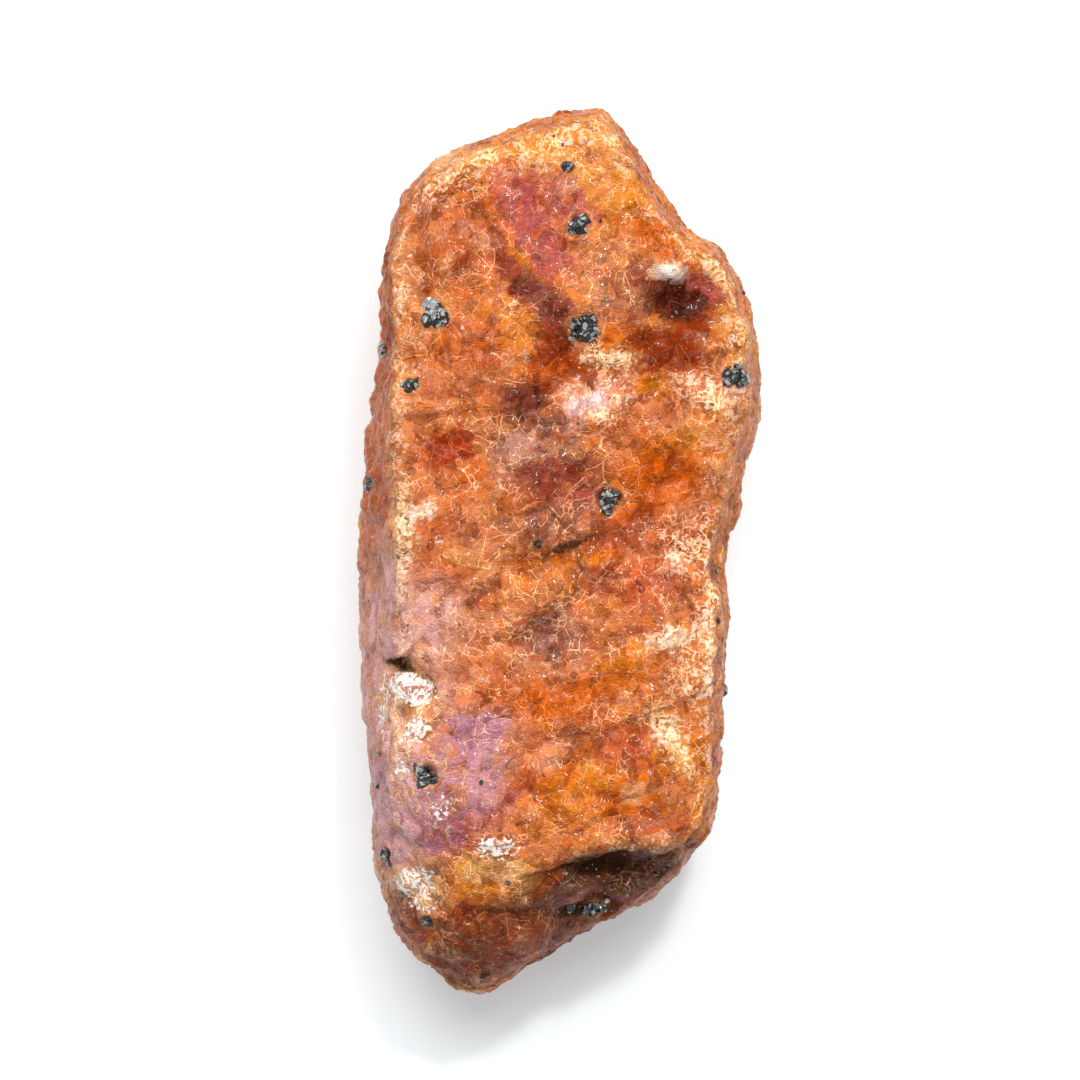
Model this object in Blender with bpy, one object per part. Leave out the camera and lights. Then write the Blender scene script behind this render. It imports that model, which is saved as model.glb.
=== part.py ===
"""Rough ruby: one worn crystal of corundum with black mineral grains grown into it.

Metres, +Z up. The stone lies on its back with its long way along Y and its broad face up. The origin is
on the surface it rests on, under the middle of its box.
"""

import math

import bmesh
import bpy
import numpy as np
from mathutils import Quaternion, Vector

MM = 0.001

# Driving dimensions
LENGTH = 50.0 * MM
WIDTH = 22.8 * MM
HEART_HEIGHT = 8.0 * MM
EDGE_SHARPNESS = 34.0

# The ball that the skin is pushed out from: how often it is divided, how its points are spread before they
# are pushed, and how many facets are left after the thinning.
BALL_LEVELS = 7
BALL_SPREAD = (1.0, 2.1, 0.9)
STONE_TRIANGLES = 8000

# The outline seen from above, clockwise from the flat peak, in millimetres from the middle of the box.
PEAK = [(0.59, 24.92), (2.39, 24.92), (3.46, 23.90)]
UPPER_RIGHT = [(5.71, 20.53), (7.23, 18.28)]
SHOULDER = [(9.08, 17.15), (9.98, 15.75), (10.88, 13.78), (11.33, 10.40), (11.28, 7.54)]
RIGHT_WAIST = [(10.66, 5.06), (10.26, 2.53), (9.59, 0.28), (9.36, -1.29)]
RIGHT_SIDE = [(9.65, -3.09), (9.48, -6.47), (9.25, -10.01), (8.97, -13.39), (8.58, -15.52)]
LOWER_RIGHT = [(7.85, -16.59), (5.93, -18.84), (4.02, -19.97), (1.55, -21.15), (-0.08, -22.22)]
TIP = [(-2.00, -23.34), (-3.85, -24.58), (-4.75, -24.97), (-5.71, -24.75)]
LOWER_LEFT = [(-7.11, -23.51), (-8.80, -22.10), (-9.70, -20.70), (-10.21, -18.73)]
LEFT_SIDE = [(-10.66, -16.48), (-10.88, -12.26), (-11.22, -7.20), (-11.39, -2.14), (-11.16, 4.05)]
UPPER_LEFT = [(-10.88, 7.71), (-10.26, 11.64), (-10.21, 14.17), (-9.87, 17.15), (-9.25, 19.40)]
TOP_EDGE = [(-8.63, 20.58), (-7.73, 21.65), (-5.60, 22.78), (-2.67, 23.90), (-0.76, 24.58)]
OUTLINE = [
    *PEAK,
    *UPPER_RIGHT,
    *SHOULDER,
    *RIGHT_WAIST,
    *RIGHT_SIDE,
    *LOWER_RIGHT,
    *TIP,
    *LOWER_LEFT,
    *LEFT_SIDE,
    *UPPER_LEFT,
    *TOP_EDGE,
]

# Each flat face: the way it faces in plan and how far it leans from level, in degrees, and a point on it
# in millimetres.
FACES = {
    "broad face": (0, 0, (0.0, 0.0, 15.9)),
    "right shoulder slope": (8, 19, (7.6, 9.0, 15.5)),
    "lower right slope": (-10, 12, (5.8, -8.0, 15.8)),
    "top slope": (98, 24, (0.0, 21.8, 15.6)),
    "upper left slope": (152, 24, (-7.2, 17.5, 15.4)),
    "lower slope": (-98, 22, (-3.0, -16.4, 15.6)),
    "tip face": (-97, 53, (-3.4, -21.0, 13.9)),
    "lower left bevel": (-150, 44, (-8.0, -19.4, 13.0)),
    "back": (0, 180, (0.0, 0.0, -0.35)),
    "back left": (178, 169, (-4.4, 0.0, 0.0)),
    "back right": (-4, 168, (4.2, 0.0, 0.0)),
    "back top": (86, 171, (0.0, 9.5, 0.0)),
    "back bottom": (-94, 172, (0.0, -9.5, 0.0)),
    "left flank below": (176, 134, (-8.6, 0.0, 1.6)),
    "right flank below": (-6, 128, (8.0, 0.0, 1.6)),
    "top end below": (84, 141, (0.0, 19.2, 1.5)),
    "tip end below": (-98, 142, (-1.0, -19.8, 1.4)),
    "upper corner below": (38, 136, (7.4, 13.0, 1.6)),
    "lower corner below": (-46, 138, (5.2, -14.6, 1.4)),
}

# Faces that cut only a part of the stone, where a chip came off: as above, then the middle of the chip, its
# half sizes and its turn.
CHIPS = {
    "end face under the ledge": (-72, 60, (4.0, -16.7, 14.9), (5.2, -19.6), (6.2, 4.6), -8),
    "upper left chip": (158, 34, (-8.3, 17.4, 14.6), (-9.2, 17.6), (1.9, 3.8), 0),
    "streaked facet": (-14, 17, (6.3, -10.8, 15.6), (7.6, -11.0), (1.5, 3.0), -10),
}

# The side walls stand upright near the widest ring and lean in above and below it. The lean is the inward
# way lost for each step of height, at twelve compass points from +X round by +Y.
LEAN_UP = (0.15, 0.22, 0.14, 0.24, 0.20, 0.26, 0.35, 0.36, 0.30, 0.26, 0.20, 0.15)
LEAN_DOWN = (0.34, 0.42, 0.30, 0.40, 0.52, 0.44, 0.36, 0.42, 0.50, 0.46, 0.38, 0.40)
UPRIGHT_ABOVE = 0.6
UPRIGHT_BELOW = 2.2

# Lumps and hollows of the broad face: place, half sizes, turn in degrees, height (below zero is a hollow).
LUMPS = {
    "maroon hollow": ((7.0, 13.8), (1.9, 1.4), 20, -0.65),
    "glossy knob beside it": ((6.1, 15.6), (0.95, 0.48), -14, 0.55),
    "waist dip": ((8.2, 0.4), (2.4, 3.2), 0, -0.60),
    "right ridge": ((8.6, 8.6), (1.4, 4.6), -6, 0.30),
    "upper middle swell": ((-1.6, 12.2), (4.6, 3.6), 30, 0.28),
    "dip under the swell": ((1.6, 9.6), (2.6, 1.4), -20, -0.34),
    "pale swell": ((1.9, 8.0), (1.9, 1.5), 15, 0.32),
    "left middle dip": ((-6.6, 4.6), (2.4, 2.6), 0, -0.34),
    "left ridge knob": ((-8.7, 0.3), (1.0, 1.9), 0, 0.26),
    "centre swell": ((-1.6, 5.4), (3.2, 2.2), 10, 0.26),
    "red flank": ((3.6, 3.6), (2.6, 1.9), 35, -0.26),
    "lower middle dip": ((-1.0, -4.8), (3.2, 1.7), 0, -0.32),
    "lower swell": ((5.0, -4.4), (2.6, 1.8), 25, 0.26),
    "mauve swell": ((-5.0, -11.4), (2.8, 3.6), 20, 0.22),
    "amber dip": ((0.9, -13.0), (2.6, 1.6), 10, -0.26),
    "ledge brow": ((4.9, -15.7), (3.2, 0.7), 0, 0.36),
    "dark hollow under the ledge": ((2.6, -17.5), (1.7, 0.7), 4, -0.75),
    "chalk bay": ((-8.5, -8.2), (1.1, 1.7), -22, -0.80),
    "lower chalk patch": ((-7.8, -18.1), (1.4, 0.7), 20, -0.30),
    "corner knob": ((-7.7, -22.1), (0.75, 0.75), 0, 0.40),
    "tip dimple": ((-3.9, -22.4), (1.5, 0.9), 0, -0.22),
}

# Lumps and hollows of the back, in the same form.
BACK_LUMPS = {
    "broken corner": ((6.6, 12.4), (2.6, 3.2), 20, -0.70),
    "long hollow": ((-6.8, -4.0), (1.5, 5.0), 6, -0.55),
    "pit row": ((7.4, -6.2), (1.3, 2.2), -10, -0.50),
    "top swell": ((-3.4, 17.4), (3.0, 2.0), 25, 0.35),
    "tip swell": ((-3.0, -17.6), (2.6, 2.2), 0, 0.30),
}

# Lumps and hollows of the sides and ends: place in space, reach and height.
SIDE_LUMPS = {
    "left hollow": ((-10.2, 7.4, 3.6), 3.0, -0.55),
    "left swell": ((-10.4, -9.6, 12.2), 2.4, 0.22),
    "left low step": ((-9.8, -14.8, 3.4), 2.6, -0.50),
    "right hollow": ((9.2, -8.8, 3.8), 2.8, -0.55),
    "right shoulder swell": ((10.6, 9.0, 4.4), 3.0, 0.30),
    "waist hollow": ((9.0, 0.2, 11.8), 2.2, -0.40),
    "top end hollow": ((-1.4, 23.8, 4.2), 3.0, -0.60),
    "bevel hollow": ((5.6, 20.0, 11.6), 2.2, -0.30),
    "tip end swell": ((-3.4, -23.0, 4.6), 2.4, 0.30),
    "end face hollow": ((5.6, -18.2, 4.4), 2.6, -0.50),
}

# Creases cut along a line: the points it runs through, half width and depth.
CREASES = {
    "diagonal crease": ([(-1.9, -0.9), (0.4, -0.2), (3.4, 0.9), (5.1, 2.5), (6.6, 4.6)], 0.80, 0.42),
    "crease above the tip": ([(-5.0, -19.9), (-2.0, -20.2), (0.6, -19.7), (2.4, -19.2)], 0.66, 0.45),
    "upper left groove": ([(-8.5, 20.0), (-8.3, 18.2), (-7.9, 16.2), (-7.5, 14.2)], 0.75, 0.50),
    "dark arc of the bay": ([(-9.3, -6.4), (-8.5, -6.2), (-7.8, -6.7), (-7.3, -7.4)], 0.40, 0.65),
    "waist crease": ([(4.0, -0.4), (6.2, 0.1), (8.6, -0.6)], 0.60, 0.24),
}

# Ledges: the surface steps down on the right-hand side of a line walked from its first point to its last.
LEDGES = {
    "curved ledge": ([(-7.2, 7.6), (-5.6, 7.9), (-4.0, 8.0), (-2.6, 7.6)], 0.24, 1.7),
    "diagonal ledge": ([(2.0, -9.6), (4.8, -8.9), (7.9, -7.5)], 0.28, 2.0),
    "streak edge": ([(5.0, -8.6), (6.4, -10.9), (7.4, -12.6)], 0.20, 1.2),
    "rim of the end face": ([(-0.8, -17.4), (1.9, -16.6), (4.6, -16.4), (8.0, -16.3)], 0.34, 1.5),
    "band edge": ([(-3.9, 17.4), (-2.5, 14.8), (-1.0, 12.2)], 0.18, 1.3),
}

# Black grains: place on the stone in plan, or on its side, size in millimetres across, and turn.
GRAINS = {
    "upper": ((1.04, 18.28), (1.50, 0.95), 10),
    "left top": ((-6.89, 13.22), (1.55, 1.35), 35),
    "upper middle": ((1.38, 12.49), (1.40, 1.70), 70),
    "right shoulder": ((9.70, 9.79), (1.20, 1.10), 0),
    "middle": ((2.84, 2.92), (1.20, 1.60), 15),
    "mauve": ((-7.45, -12.43), (1.20, 1.35), 50),
    "left edge": ((-10.66, 3.77), (0.80, 1.30), 20),
    "left upper": ((-8.35, 9.34), (0.70, 0.90), 0),
    "left high": ((-9.87, 11.20), (0.65, 0.95), 10),
    "left low": ((-9.70, -16.98), (0.75, 1.00), 30),
    "right low": ((9.14, -7.82), (0.75, 1.05), 0),
    "end": ((1.80, -20.02), (1.60, 0.60), 14),
    "corner": ((-7.37, -20.64), (1.00, 0.70), -20),
}
GRAIN_STANDS_OUT = 0.24
GRAIN_THICKNESS = 0.8

# Slow swells and the hammered look of the skin: size and depth of each, in millimetres.
SWELL_SIZE, SWELL_HEIGHT = 6.5, 0.34
LUMP_SIZE, LUMP_HEIGHT = 2.5, 0.16
DIMPLE_SIZE, DIMPLE_DEPTH, DIMPLE_RIM = 2.1, 0.13, 0.6
FADE_OVER_REST = 1.0
QUIET_WALLS = 0.3

# How fast a chip's face, the relief of a face that looks up or down, and a ledge's step fade in.
CHIP_FADE = 2.0
LEVEL_FADE = (0.05, 0.45)
LEDGE_SOFTNESS = 0.25

# The lattice of random numbers behind the noise, and where the stone's middle lies in it.
LATTICE = 32
LATTICE_MIDDLE = 233.6

HEART = np.array((0.0, 0.0, HEART_HEIGHT / MM))


def smooth_step(low, high, value):
    """Rises from 0 at low to 1 at high, level at both ends."""
    t = np.clip((value - low) / (high - low), 0.0, 1.0)
    return t * t * (3.0 - 2.0 * t)


def noise(points, size, seed):
    """Smooth random hills between -1 and 1, size apart: random numbers on a lattice, blended between."""
    lattice = np.random.default_rng(seed).uniform(-1.0, 1.0, (LATTICE,) * 3)
    scaled = points / size + LATTICE_MIDDLE
    low = np.floor(scaled).astype(int)
    part = scaled - low
    part = part * part * (3.0 - 2.0 * part)
    total = np.zeros(len(points))
    for corner in np.ndindex(2, 2, 2):
        at = (low + corner) % LATTICE
        weight = np.prod(np.where(corner, part, 1.0 - part), axis=1)
        total += weight * lattice[at[:, 0], at[:, 1], at[:, 2]]
    return total


def cell_distances(points, size, seed):
    """Distance to the nearest and second nearest of random points, one in each lattice cube."""
    lattice = np.random.default_rng(seed).uniform(0.0, 1.0, (LATTICE,) * 3 + (3,))
    scaled = points / size + LATTICE_MIDDLE
    low = np.floor(scaled).astype(int)
    found = []
    for step in np.ndindex(3, 3, 3):
        cube = low + step - 1
        at = cube % LATTICE
        found.append(np.linalg.norm(cube + lattice[at[:, 0], at[:, 1], at[:, 2]] - scaled, axis=1))
    found = np.partition(np.array(found), 1, axis=0)
    return found[0], found[1]


def closed_curve(corners, steps=12):
    """A smooth closed curve through the corners: a Catmull-Rom spline, steps points to each span."""
    before, here = np.roll(corners, 1, axis=0), np.asarray(corners, float)
    after, beyond = np.roll(here, -1, axis=0), np.roll(here, -2, axis=0)
    t = np.linspace(0.0, 1.0, steps, endpoint=False)[None, :, None]
    a, b, c, d = (points[:, None, :] for points in (before, here, after, beyond))
    curve = 2 * b + (c - a) * t + (2 * a - 5 * b + 4 * c - d) * t**2 + (3 * b - a - 3 * c + d) * t**3
    return (0.5 * curve).reshape(-1, 2)


def half_width(angle):
    """How far the outline is from the middle, in the direction of each angle."""
    curve = closed_curve(OUTLINE)
    angles = np.arctan2(curve[:, 1], curve[:, 0])
    order = np.argsort(angles)
    return np.interp(angle, angles[order], np.hypot(*curve[order].T), period=2 * math.pi)


def lean_at(angle, leans):
    """The lean of the wall in the direction of each angle, between its named compass values."""
    compass = np.arange(len(leans)) * 2 * math.pi / len(leans)
    return np.interp(angle, compass, leans, period=2 * math.pi)


def facing(toward, lean):
    """The unit normal of a face, from the way it faces in plan and its lean from level, in degrees."""
    toward, lean = math.radians(toward), math.radians(lean)
    return np.array([math.sin(lean) * math.cos(toward), math.sin(lean) * math.sin(toward), math.cos(lean)])


def stone_radius(ways):
    """How far the skin is from the heart in each direction: the nearest of the outline's upright wall, its
    two leaning walls and the flat faces, softened where they meet by a high power mean."""
    angle = np.arctan2(ways[:, 1], ways[:, 0])
    ring = half_width(angle)
    wall = np.hypot(ways[:, 0], ways[:, 1]) / ring
    up, down = lean_at(angle, LEAN_UP) / ring, lean_at(angle, LEAN_DOWN) / ring
    nearness = [
        wall,
        (wall + up * ways[:, 2]) / (1.0 + up * UPRIGHT_ABOVE),
        (wall - down * ways[:, 2]) / (1.0 + down * UPRIGHT_BELOW),
    ]
    for toward, lean, point in FACES.values():
        out = facing(toward, lean)
        reach = out @ (np.array(point) - HEART)
        nearness.append(ways @ out / reach)
    nearness = np.maximum(np.array(nearness), 1e-6)
    return np.sum(nearness**EDGE_SHARPNESS, axis=0) ** (-1.0 / EDGE_SHARPNESS)


def line_distance(places, line):
    """Distance of each place to a line of points, and 1 on its left-hand side or -1 on its right."""
    best = np.full(len(places), np.inf)
    side = np.zeros(len(places))
    for start, end in zip(np.array(line[:-1]), np.array(line[1:])):
        run = end - start
        t = np.clip((places - start) @ run / (run @ run), 0.0, 1.0)
        away = places - start - t[:, None] * run
        distance = np.hypot(*away.T)
        closer = distance < best
        side[closer] = np.sign(run[0] * away[closer, 1] - run[1] * away[closer, 0])
        best[closer] = distance[closer]
    return best, side


def patch(places, middle, half_sizes, turn, firmness=1.4):
    """1 in the middle of a turned oval patch, fading to 0 past its half sizes, faster where firmer."""
    turn = math.radians(turn)
    dx, dy = places[:, 0] - middle[0], places[:, 1] - middle[1]
    u = (dx * math.cos(turn) + dy * math.sin(turn)) / half_sizes[0]
    v = (dy * math.cos(turn) - dx * math.sin(turn)) / half_sizes[1]
    return np.exp(-((u * u + v * v) ** firmness))


def lumps(places, named):
    """The heights of soft round-topped lumps and hollows."""
    return sum(height * patch(places, *where) for *where, height in named.values())


def chipped(points):
    """The points that stand past a chip's face are moved back on it, within the chip's patch."""
    for toward, lean, on_face, *where in CHIPS.values():
        out = facing(toward, lean)
        past = np.maximum((points - on_face) @ out, 0.0) * patch(points, *where, firmness=3.0)
        above = smooth_step(0.0, CHIP_FADE, points[:, 2:] - HEART[2])
        points = points - past[:, None] * out * above
    return points


def relief(points, normals):
    """How far each point of the skin moves out along its normal, in millimetres."""
    places = points[:, :2]
    upward = smooth_step(*LEVEL_FADE, normals[:, 2])
    downward = smooth_step(*LEVEL_FADE, -normals[:, 2])
    out = lumps(places, LUMPS) * upward + lumps(places, BACK_LUMPS) * downward
    for middle, reach, height in SIDE_LUMPS.values():
        out += height * np.exp(-((np.linalg.norm(points - middle, axis=1) / reach) ** 3))
    for line, reach, depth in CREASES.values():
        distance, _ = line_distance(places, line)
        out -= depth * np.exp(-((distance / reach) ** 2)) * upward
    for line, step, reach in LEDGES.values():
        distance, side = line_distance(places, line)
        fall = np.where(side > 0, 0.0, 1.0) * np.exp(-((distance / reach) ** 2))
        out -= step * fall * smooth_step(0.0, LEDGE_SOFTNESS, distance) * upward
    quiet = QUIET_WALLS + (1.0 - QUIET_WALLS) * np.abs(normals[:, 2])
    out += SWELL_HEIGHT * quiet * noise(points, SWELL_SIZE, 3)
    out += LUMP_HEIGHT * quiet * noise(points, LUMP_SIZE, 5)
    nearest, second = cell_distances(points, DIMPLE_SIZE, 8)
    out += DIMPLE_DEPTH * (2.0 * np.minimum(second - nearest, DIMPLE_RIM) / DIMPLE_RIM - 1.0)
    return out * smooth_step(0.0, FADE_OVER_REST, points[:, 2])


def mesh_arrays(mesh):
    """The mesh's points in millimetres and its normals."""
    points = np.empty(len(mesh.vertices) * 3)
    mesh.vertices.foreach_get("co", points)
    normals = np.empty(len(mesh.vertices) * 3)
    mesh.vertex_normals.foreach_get("vector", normals)
    return points.reshape(-1, 3) / MM, normals.reshape(-1, 3)


def set_points(mesh, points):
    """Puts points in millimetres back into the mesh."""
    mesh.vertices.foreach_set("co", (points * MM).ravel())
    mesh.update()


def fit_outline(points):
    """Stretches the points a little so that the box is exactly WIDTH by LENGTH about the middle."""
    low, high = points.min(axis=0), points.max(axis=0)
    for axis, size in ((0, WIDTH), (1, LENGTH)):
        points[:, axis] = (points[:, axis] - low[axis]) / (high[axis] - low[axis]) - 0.5
        points[:, axis] *= size / MM
    return points


def new_object(name, bm):
    """A mesh object made from bm, linked to the scene."""
    mesh = bpy.data.meshes.new(name)
    bm.to_mesh(mesh)
    bm.free()
    made = bpy.data.objects.new(name, mesh)
    bpy.context.scene.collection.objects.link(made)
    return made


def evaluated_mesh(thing):
    """The object's mesh with its modifiers applied."""
    bpy.context.view_layer.update()
    graph = bpy.context.evaluated_depsgraph_get()
    return bpy.data.meshes.new_from_object(thing.evaluated_get(graph))


def grown_stone():
    """A ball pushed out to the stone's faces, given its relief, and thinned to flat facets."""
    bm = bmesh.new()
    bmesh.ops.create_icosphere(bm, subdivisions=BALL_LEVELS, radius=1.0)
    stone = new_object("rough_ruby", bm)
    ways, _ = mesh_arrays(stone.data)
    ways = ways * MM * BALL_SPREAD
    ways /= np.linalg.norm(ways, axis=1)[:, None]
    points = ways * stone_radius(ways)[:, None] + HEART
    set_points(stone.data, chipped(points))
    points, normals = mesh_arrays(stone.data)
    points += normals * relief(points, normals)[:, None]
    set_points(stone.data, fit_outline(points))
    thin = stone.modifiers.new("Facets", "DECIMATE")
    thin.ratio = STONE_TRIANGLES / len(stone.data.polygons)
    faceted = evaluated_mesh(stone)
    stone.modifiers.clear()
    stone.data = faceted
    return stone


def flat_spot(stone):
    """Cuts the stone off level at the height of the surface it rests on and closes the cut."""
    bm = bmesh.new()
    bm.from_mesh(stone.data)
    every = bm.verts[:] + bm.edges[:] + bm.faces[:]
    cut = bmesh.ops.bisect_plane(bm, geom=every, plane_co=(0, 0, 0), plane_no=(0, 0, 1), clear_inner=True)
    rim = [edge for edge in cut["geom_cut"] if isinstance(edge, bmesh.types.BMEdge)]
    bmesh.ops.contextual_create(bm, geom=rim)
    bmesh.ops.triangulate(bm, faces=bm.faces[:])
    bm.to_mesh(stone.data)
    bm.free()


def grain_crystal(name, stone, place, size, turn):
    """One angular grain seated in the skin: a ball of twenty faces, squeezed and set along the normal.
    A grain whose place is past the edge of the broad face sits on the side, at the height of the heart."""
    hit, where, normal, _ = stone.ray_cast((place[0] * MM, place[1] * MM, LENGTH), (0, 0, -1))
    if not hit:
        outward = Vector((*place, 0.0)).normalized()
        start = outward * LENGTH + Vector((0.0, 0.0, HEART_HEIGHT))
        hit, where, normal, _ = stone.ray_cast(start, -outward)
    if not hit:
        raise RuntimeError(f"the {name} grain misses the stone")
    bm = bmesh.new()
    bmesh.ops.create_icosphere(bm, subdivisions=1, radius=0.5)
    grain = new_object("grain " + name, bm)
    thickness = min(size) * GRAIN_THICKNESS
    grain.scale = (size[0] * MM, size[1] * MM, thickness * MM)
    grain.rotation_mode = "QUATERNION"
    grain.rotation_quaternion = normal.to_track_quat("Z", "Y") @ Quaternion((0, 0, 1), math.radians(turn))
    grain.location = where - normal * (thickness / 2 - GRAIN_STANDS_OUT) * MM
    grain.hide_render = True
    grain.display_type = "WIRE"
    return grain


def seat_grains(stone):
    """Joins every grain to the stone, so that they are one solid as they grew."""
    grains = bpy.data.collections.new("grains")
    bpy.context.scene.collection.children.link(grains)
    for name, (place, size, turn) in GRAINS.items():
        grain = grain_crystal(name, stone, place, size, turn)
        bpy.context.scene.collection.objects.unlink(grain)
        grains.objects.link(grain)
    join = stone.modifiers.new("Grains", "BOOLEAN")
    join.operation = "UNION"
    join.operand_type = "COLLECTION"
    join.collection = grains
    grains.hide_render = True


def crystal_material():
    """Orange corundum, glossy from handling."""
    material = bpy.data.materials.new("orange corundum")
    material.use_nodes = True
    shader = material.node_tree.nodes["Principled BSDF"]
    shader.inputs["Base Color"].default_value = (0.50, 0.17, 0.06, 1.0)
    shader.inputs["Roughness"].default_value = 0.32
    shader.inputs["Metallic"].default_value = 0.0
    material.diffuse_color = (0.72, 0.38, 0.18, 1.0)
    return material


def clear_scene():
    for thing in list(bpy.data.objects):
        bpy.data.objects.remove(thing)


def main():
    clear_scene()
    stone = grown_stone()
    flat_spot(stone)
    seat_grains(stone)
    stone.data.materials.append(crystal_material())


main()
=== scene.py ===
"""Looks of a rough ruby: the glossy hammered skin of the stone, its black mineral grains and the studio.

The shapes are worked out in millimetres and stored in metres. Places of colours are given where the
reference picture shows them, in its own pixels, and turned into millimetres by from_picture.
"""

import math
from types import SimpleNamespace

import bpy
import numpy as np
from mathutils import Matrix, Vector


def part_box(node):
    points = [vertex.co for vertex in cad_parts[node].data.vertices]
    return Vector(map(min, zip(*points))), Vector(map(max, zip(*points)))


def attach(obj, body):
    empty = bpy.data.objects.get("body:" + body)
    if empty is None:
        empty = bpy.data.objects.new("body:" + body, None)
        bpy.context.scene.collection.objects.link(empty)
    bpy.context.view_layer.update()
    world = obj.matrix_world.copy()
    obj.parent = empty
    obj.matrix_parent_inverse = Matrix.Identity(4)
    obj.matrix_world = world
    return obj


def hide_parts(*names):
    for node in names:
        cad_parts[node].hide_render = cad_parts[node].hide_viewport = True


bl_info = {
    "name": "Rough ruby",
    "version": (1, 0, 0),
    "blender": (4, 5, 0),
    "location": "3D View > Sidebar > Rough ruby",
    "description": "Grows the skin, the black grains and the studio of a rough ruby crystal",
    "category": "Add Mesh",
}

MM = 0.001
NODE = "rough_ruby"
BODY = "root"

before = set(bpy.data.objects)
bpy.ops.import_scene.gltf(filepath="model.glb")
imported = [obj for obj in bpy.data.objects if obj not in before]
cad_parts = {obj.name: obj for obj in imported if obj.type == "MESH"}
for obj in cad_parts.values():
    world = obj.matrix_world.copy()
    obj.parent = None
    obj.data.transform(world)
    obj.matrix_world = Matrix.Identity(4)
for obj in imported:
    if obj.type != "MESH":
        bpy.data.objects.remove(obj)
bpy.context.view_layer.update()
BOX_LOW, BOX_HIGH = (np.array(corner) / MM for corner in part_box(NODE))

# The reference picture: its side in pixels, the pixel over the middle of the stone's box, and millimetres
# per pixel.
PICTURE_SIDE = 1080
PICTURE_MIDDLE = np.array((559.5, 552.0))
PICTURE_SCALE = 0.056243

# Form of the stone, in millimetres, as its solid has it

HEART = np.array((0.0, 0.0, 8.0))
EDGE_SHARPNESS = 34.0
LEAST_NEARNESS = 1e-6

# The outline seen from above, clockwise from the flat peak, measured from the middle of the box.
PEAK = [(0.59, 24.92), (2.39, 24.92), (3.46, 23.90)]
UPPER_RIGHT = [(5.71, 20.53), (7.23, 18.28)]
SHOULDER = [(9.08, 17.15), (9.98, 15.75), (10.88, 13.78), (11.33, 10.40), (11.28, 7.54)]
RIGHT_WAIST = [(10.66, 5.06), (10.26, 2.53), (9.59, 0.28), (9.36, -1.29)]
RIGHT_SIDE = [(9.65, -3.09), (9.48, -6.47), (9.25, -10.01), (8.97, -13.39), (8.58, -15.52)]
LOWER_RIGHT = [(7.85, -16.59), (5.93, -18.84), (4.02, -19.97), (1.55, -21.15), (-0.08, -22.22)]
TIP = [(-2.00, -23.34), (-3.85, -24.58), (-4.75, -24.97), (-5.71, -24.75)]
LOWER_LEFT = [(-7.11, -23.51), (-8.80, -22.10), (-9.70, -20.70), (-10.21, -18.73)]
LEFT_SIDE = [(-10.66, -16.48), (-10.88, -12.26), (-11.22, -7.20), (-11.39, -2.14), (-11.16, 4.05)]
UPPER_LEFT = [(-10.88, 7.71), (-10.26, 11.64), (-10.21, 14.17), (-9.87, 17.15), (-9.25, 19.40)]
TOP_EDGE = [(-8.63, 20.58), (-7.73, 21.65), (-5.60, 22.78), (-2.67, 23.90), (-0.76, 24.58)]
OUTLINE = [
    *PEAK,
    *UPPER_RIGHT,
    *SHOULDER,
    *RIGHT_WAIST,
    *RIGHT_SIDE,
    *LOWER_RIGHT,
    *TIP,
    *LOWER_LEFT,
    *LEFT_SIDE,
    *UPPER_LEFT,
    *TOP_EDGE,
]

# Each flat face: the way it faces in plan and how far it leans from level, in degrees, and a point on it.
FACES = {
    "broad face": (0, 0, (0.0, 0.0, 15.9)),
    "right shoulder slope": (8, 19, (7.6, 9.0, 15.5)),
    "lower right slope": (-10, 12, (5.8, -8.0, 15.8)),
    "top slope": (98, 24, (0.0, 21.8, 15.6)),
    "upper left slope": (152, 24, (-7.2, 17.5, 15.4)),
    "lower slope": (-98, 22, (-3.0, -16.4, 15.6)),
    "tip face": (-97, 53, (-3.4, -21.0, 13.9)),
    "lower left bevel": (-150, 44, (-8.0, -19.4, 13.0)),
    "back": (0, 180, (0.0, 0.0, -0.35)),
    "back left": (178, 169, (-4.4, 0.0, 0.0)),
    "back right": (-4, 168, (4.2, 0.0, 0.0)),
    "back top": (86, 171, (0.0, 9.5, 0.0)),
    "back bottom": (-94, 172, (0.0, -9.5, 0.0)),
    "left flank below": (176, 134, (-8.6, 0.0, 1.6)),
    "right flank below": (-6, 128, (8.0, 0.0, 1.6)),
    "top end below": (84, 141, (0.0, 19.2, 1.5)),
    "tip end below": (-98, 142, (-1.0, -19.8, 1.4)),
    "upper corner below": (38, 136, (7.4, 13.0, 1.6)),
    "lower corner below": (-46, 138, (5.2, -14.6, 1.4)),
}

# Faces that cut only a part of the stone, where a chip came off: as above, then the middle of the chip, its
# half sizes and its turn.
CHIPS = {
    "end face under the ledge": (-72, 60, (4.0, -16.7, 14.9), (5.2, -19.6), (6.2, 4.6), -8),
    "upper left chip": (158, 34, (-8.3, 17.4, 14.6), (-9.2, 17.6), (1.9, 3.8), 0),
    "streaked facet": (-14, 17, (6.3, -10.8, 15.6), (7.6, -11.0), (1.5, 3.0), -10),
}
CHIP_FADE = 2.0

# The lean of the side walls above and below the widest ring: the inward way lost for each step of height, at
# twelve compass points from +X round by +Y, and the heights over which the walls stand upright.
LEAN_UP = (0.15, 0.22, 0.14, 0.24, 0.20, 0.26, 0.35, 0.36, 0.30, 0.26, 0.20, 0.15)
LEAN_DOWN = (0.34, 0.42, 0.30, 0.40, 0.52, 0.44, 0.36, 0.42, 0.50, 0.46, 0.38, 0.40)
UPRIGHT_ABOVE = 0.6
UPRIGHT_BELOW = 2.2

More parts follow.
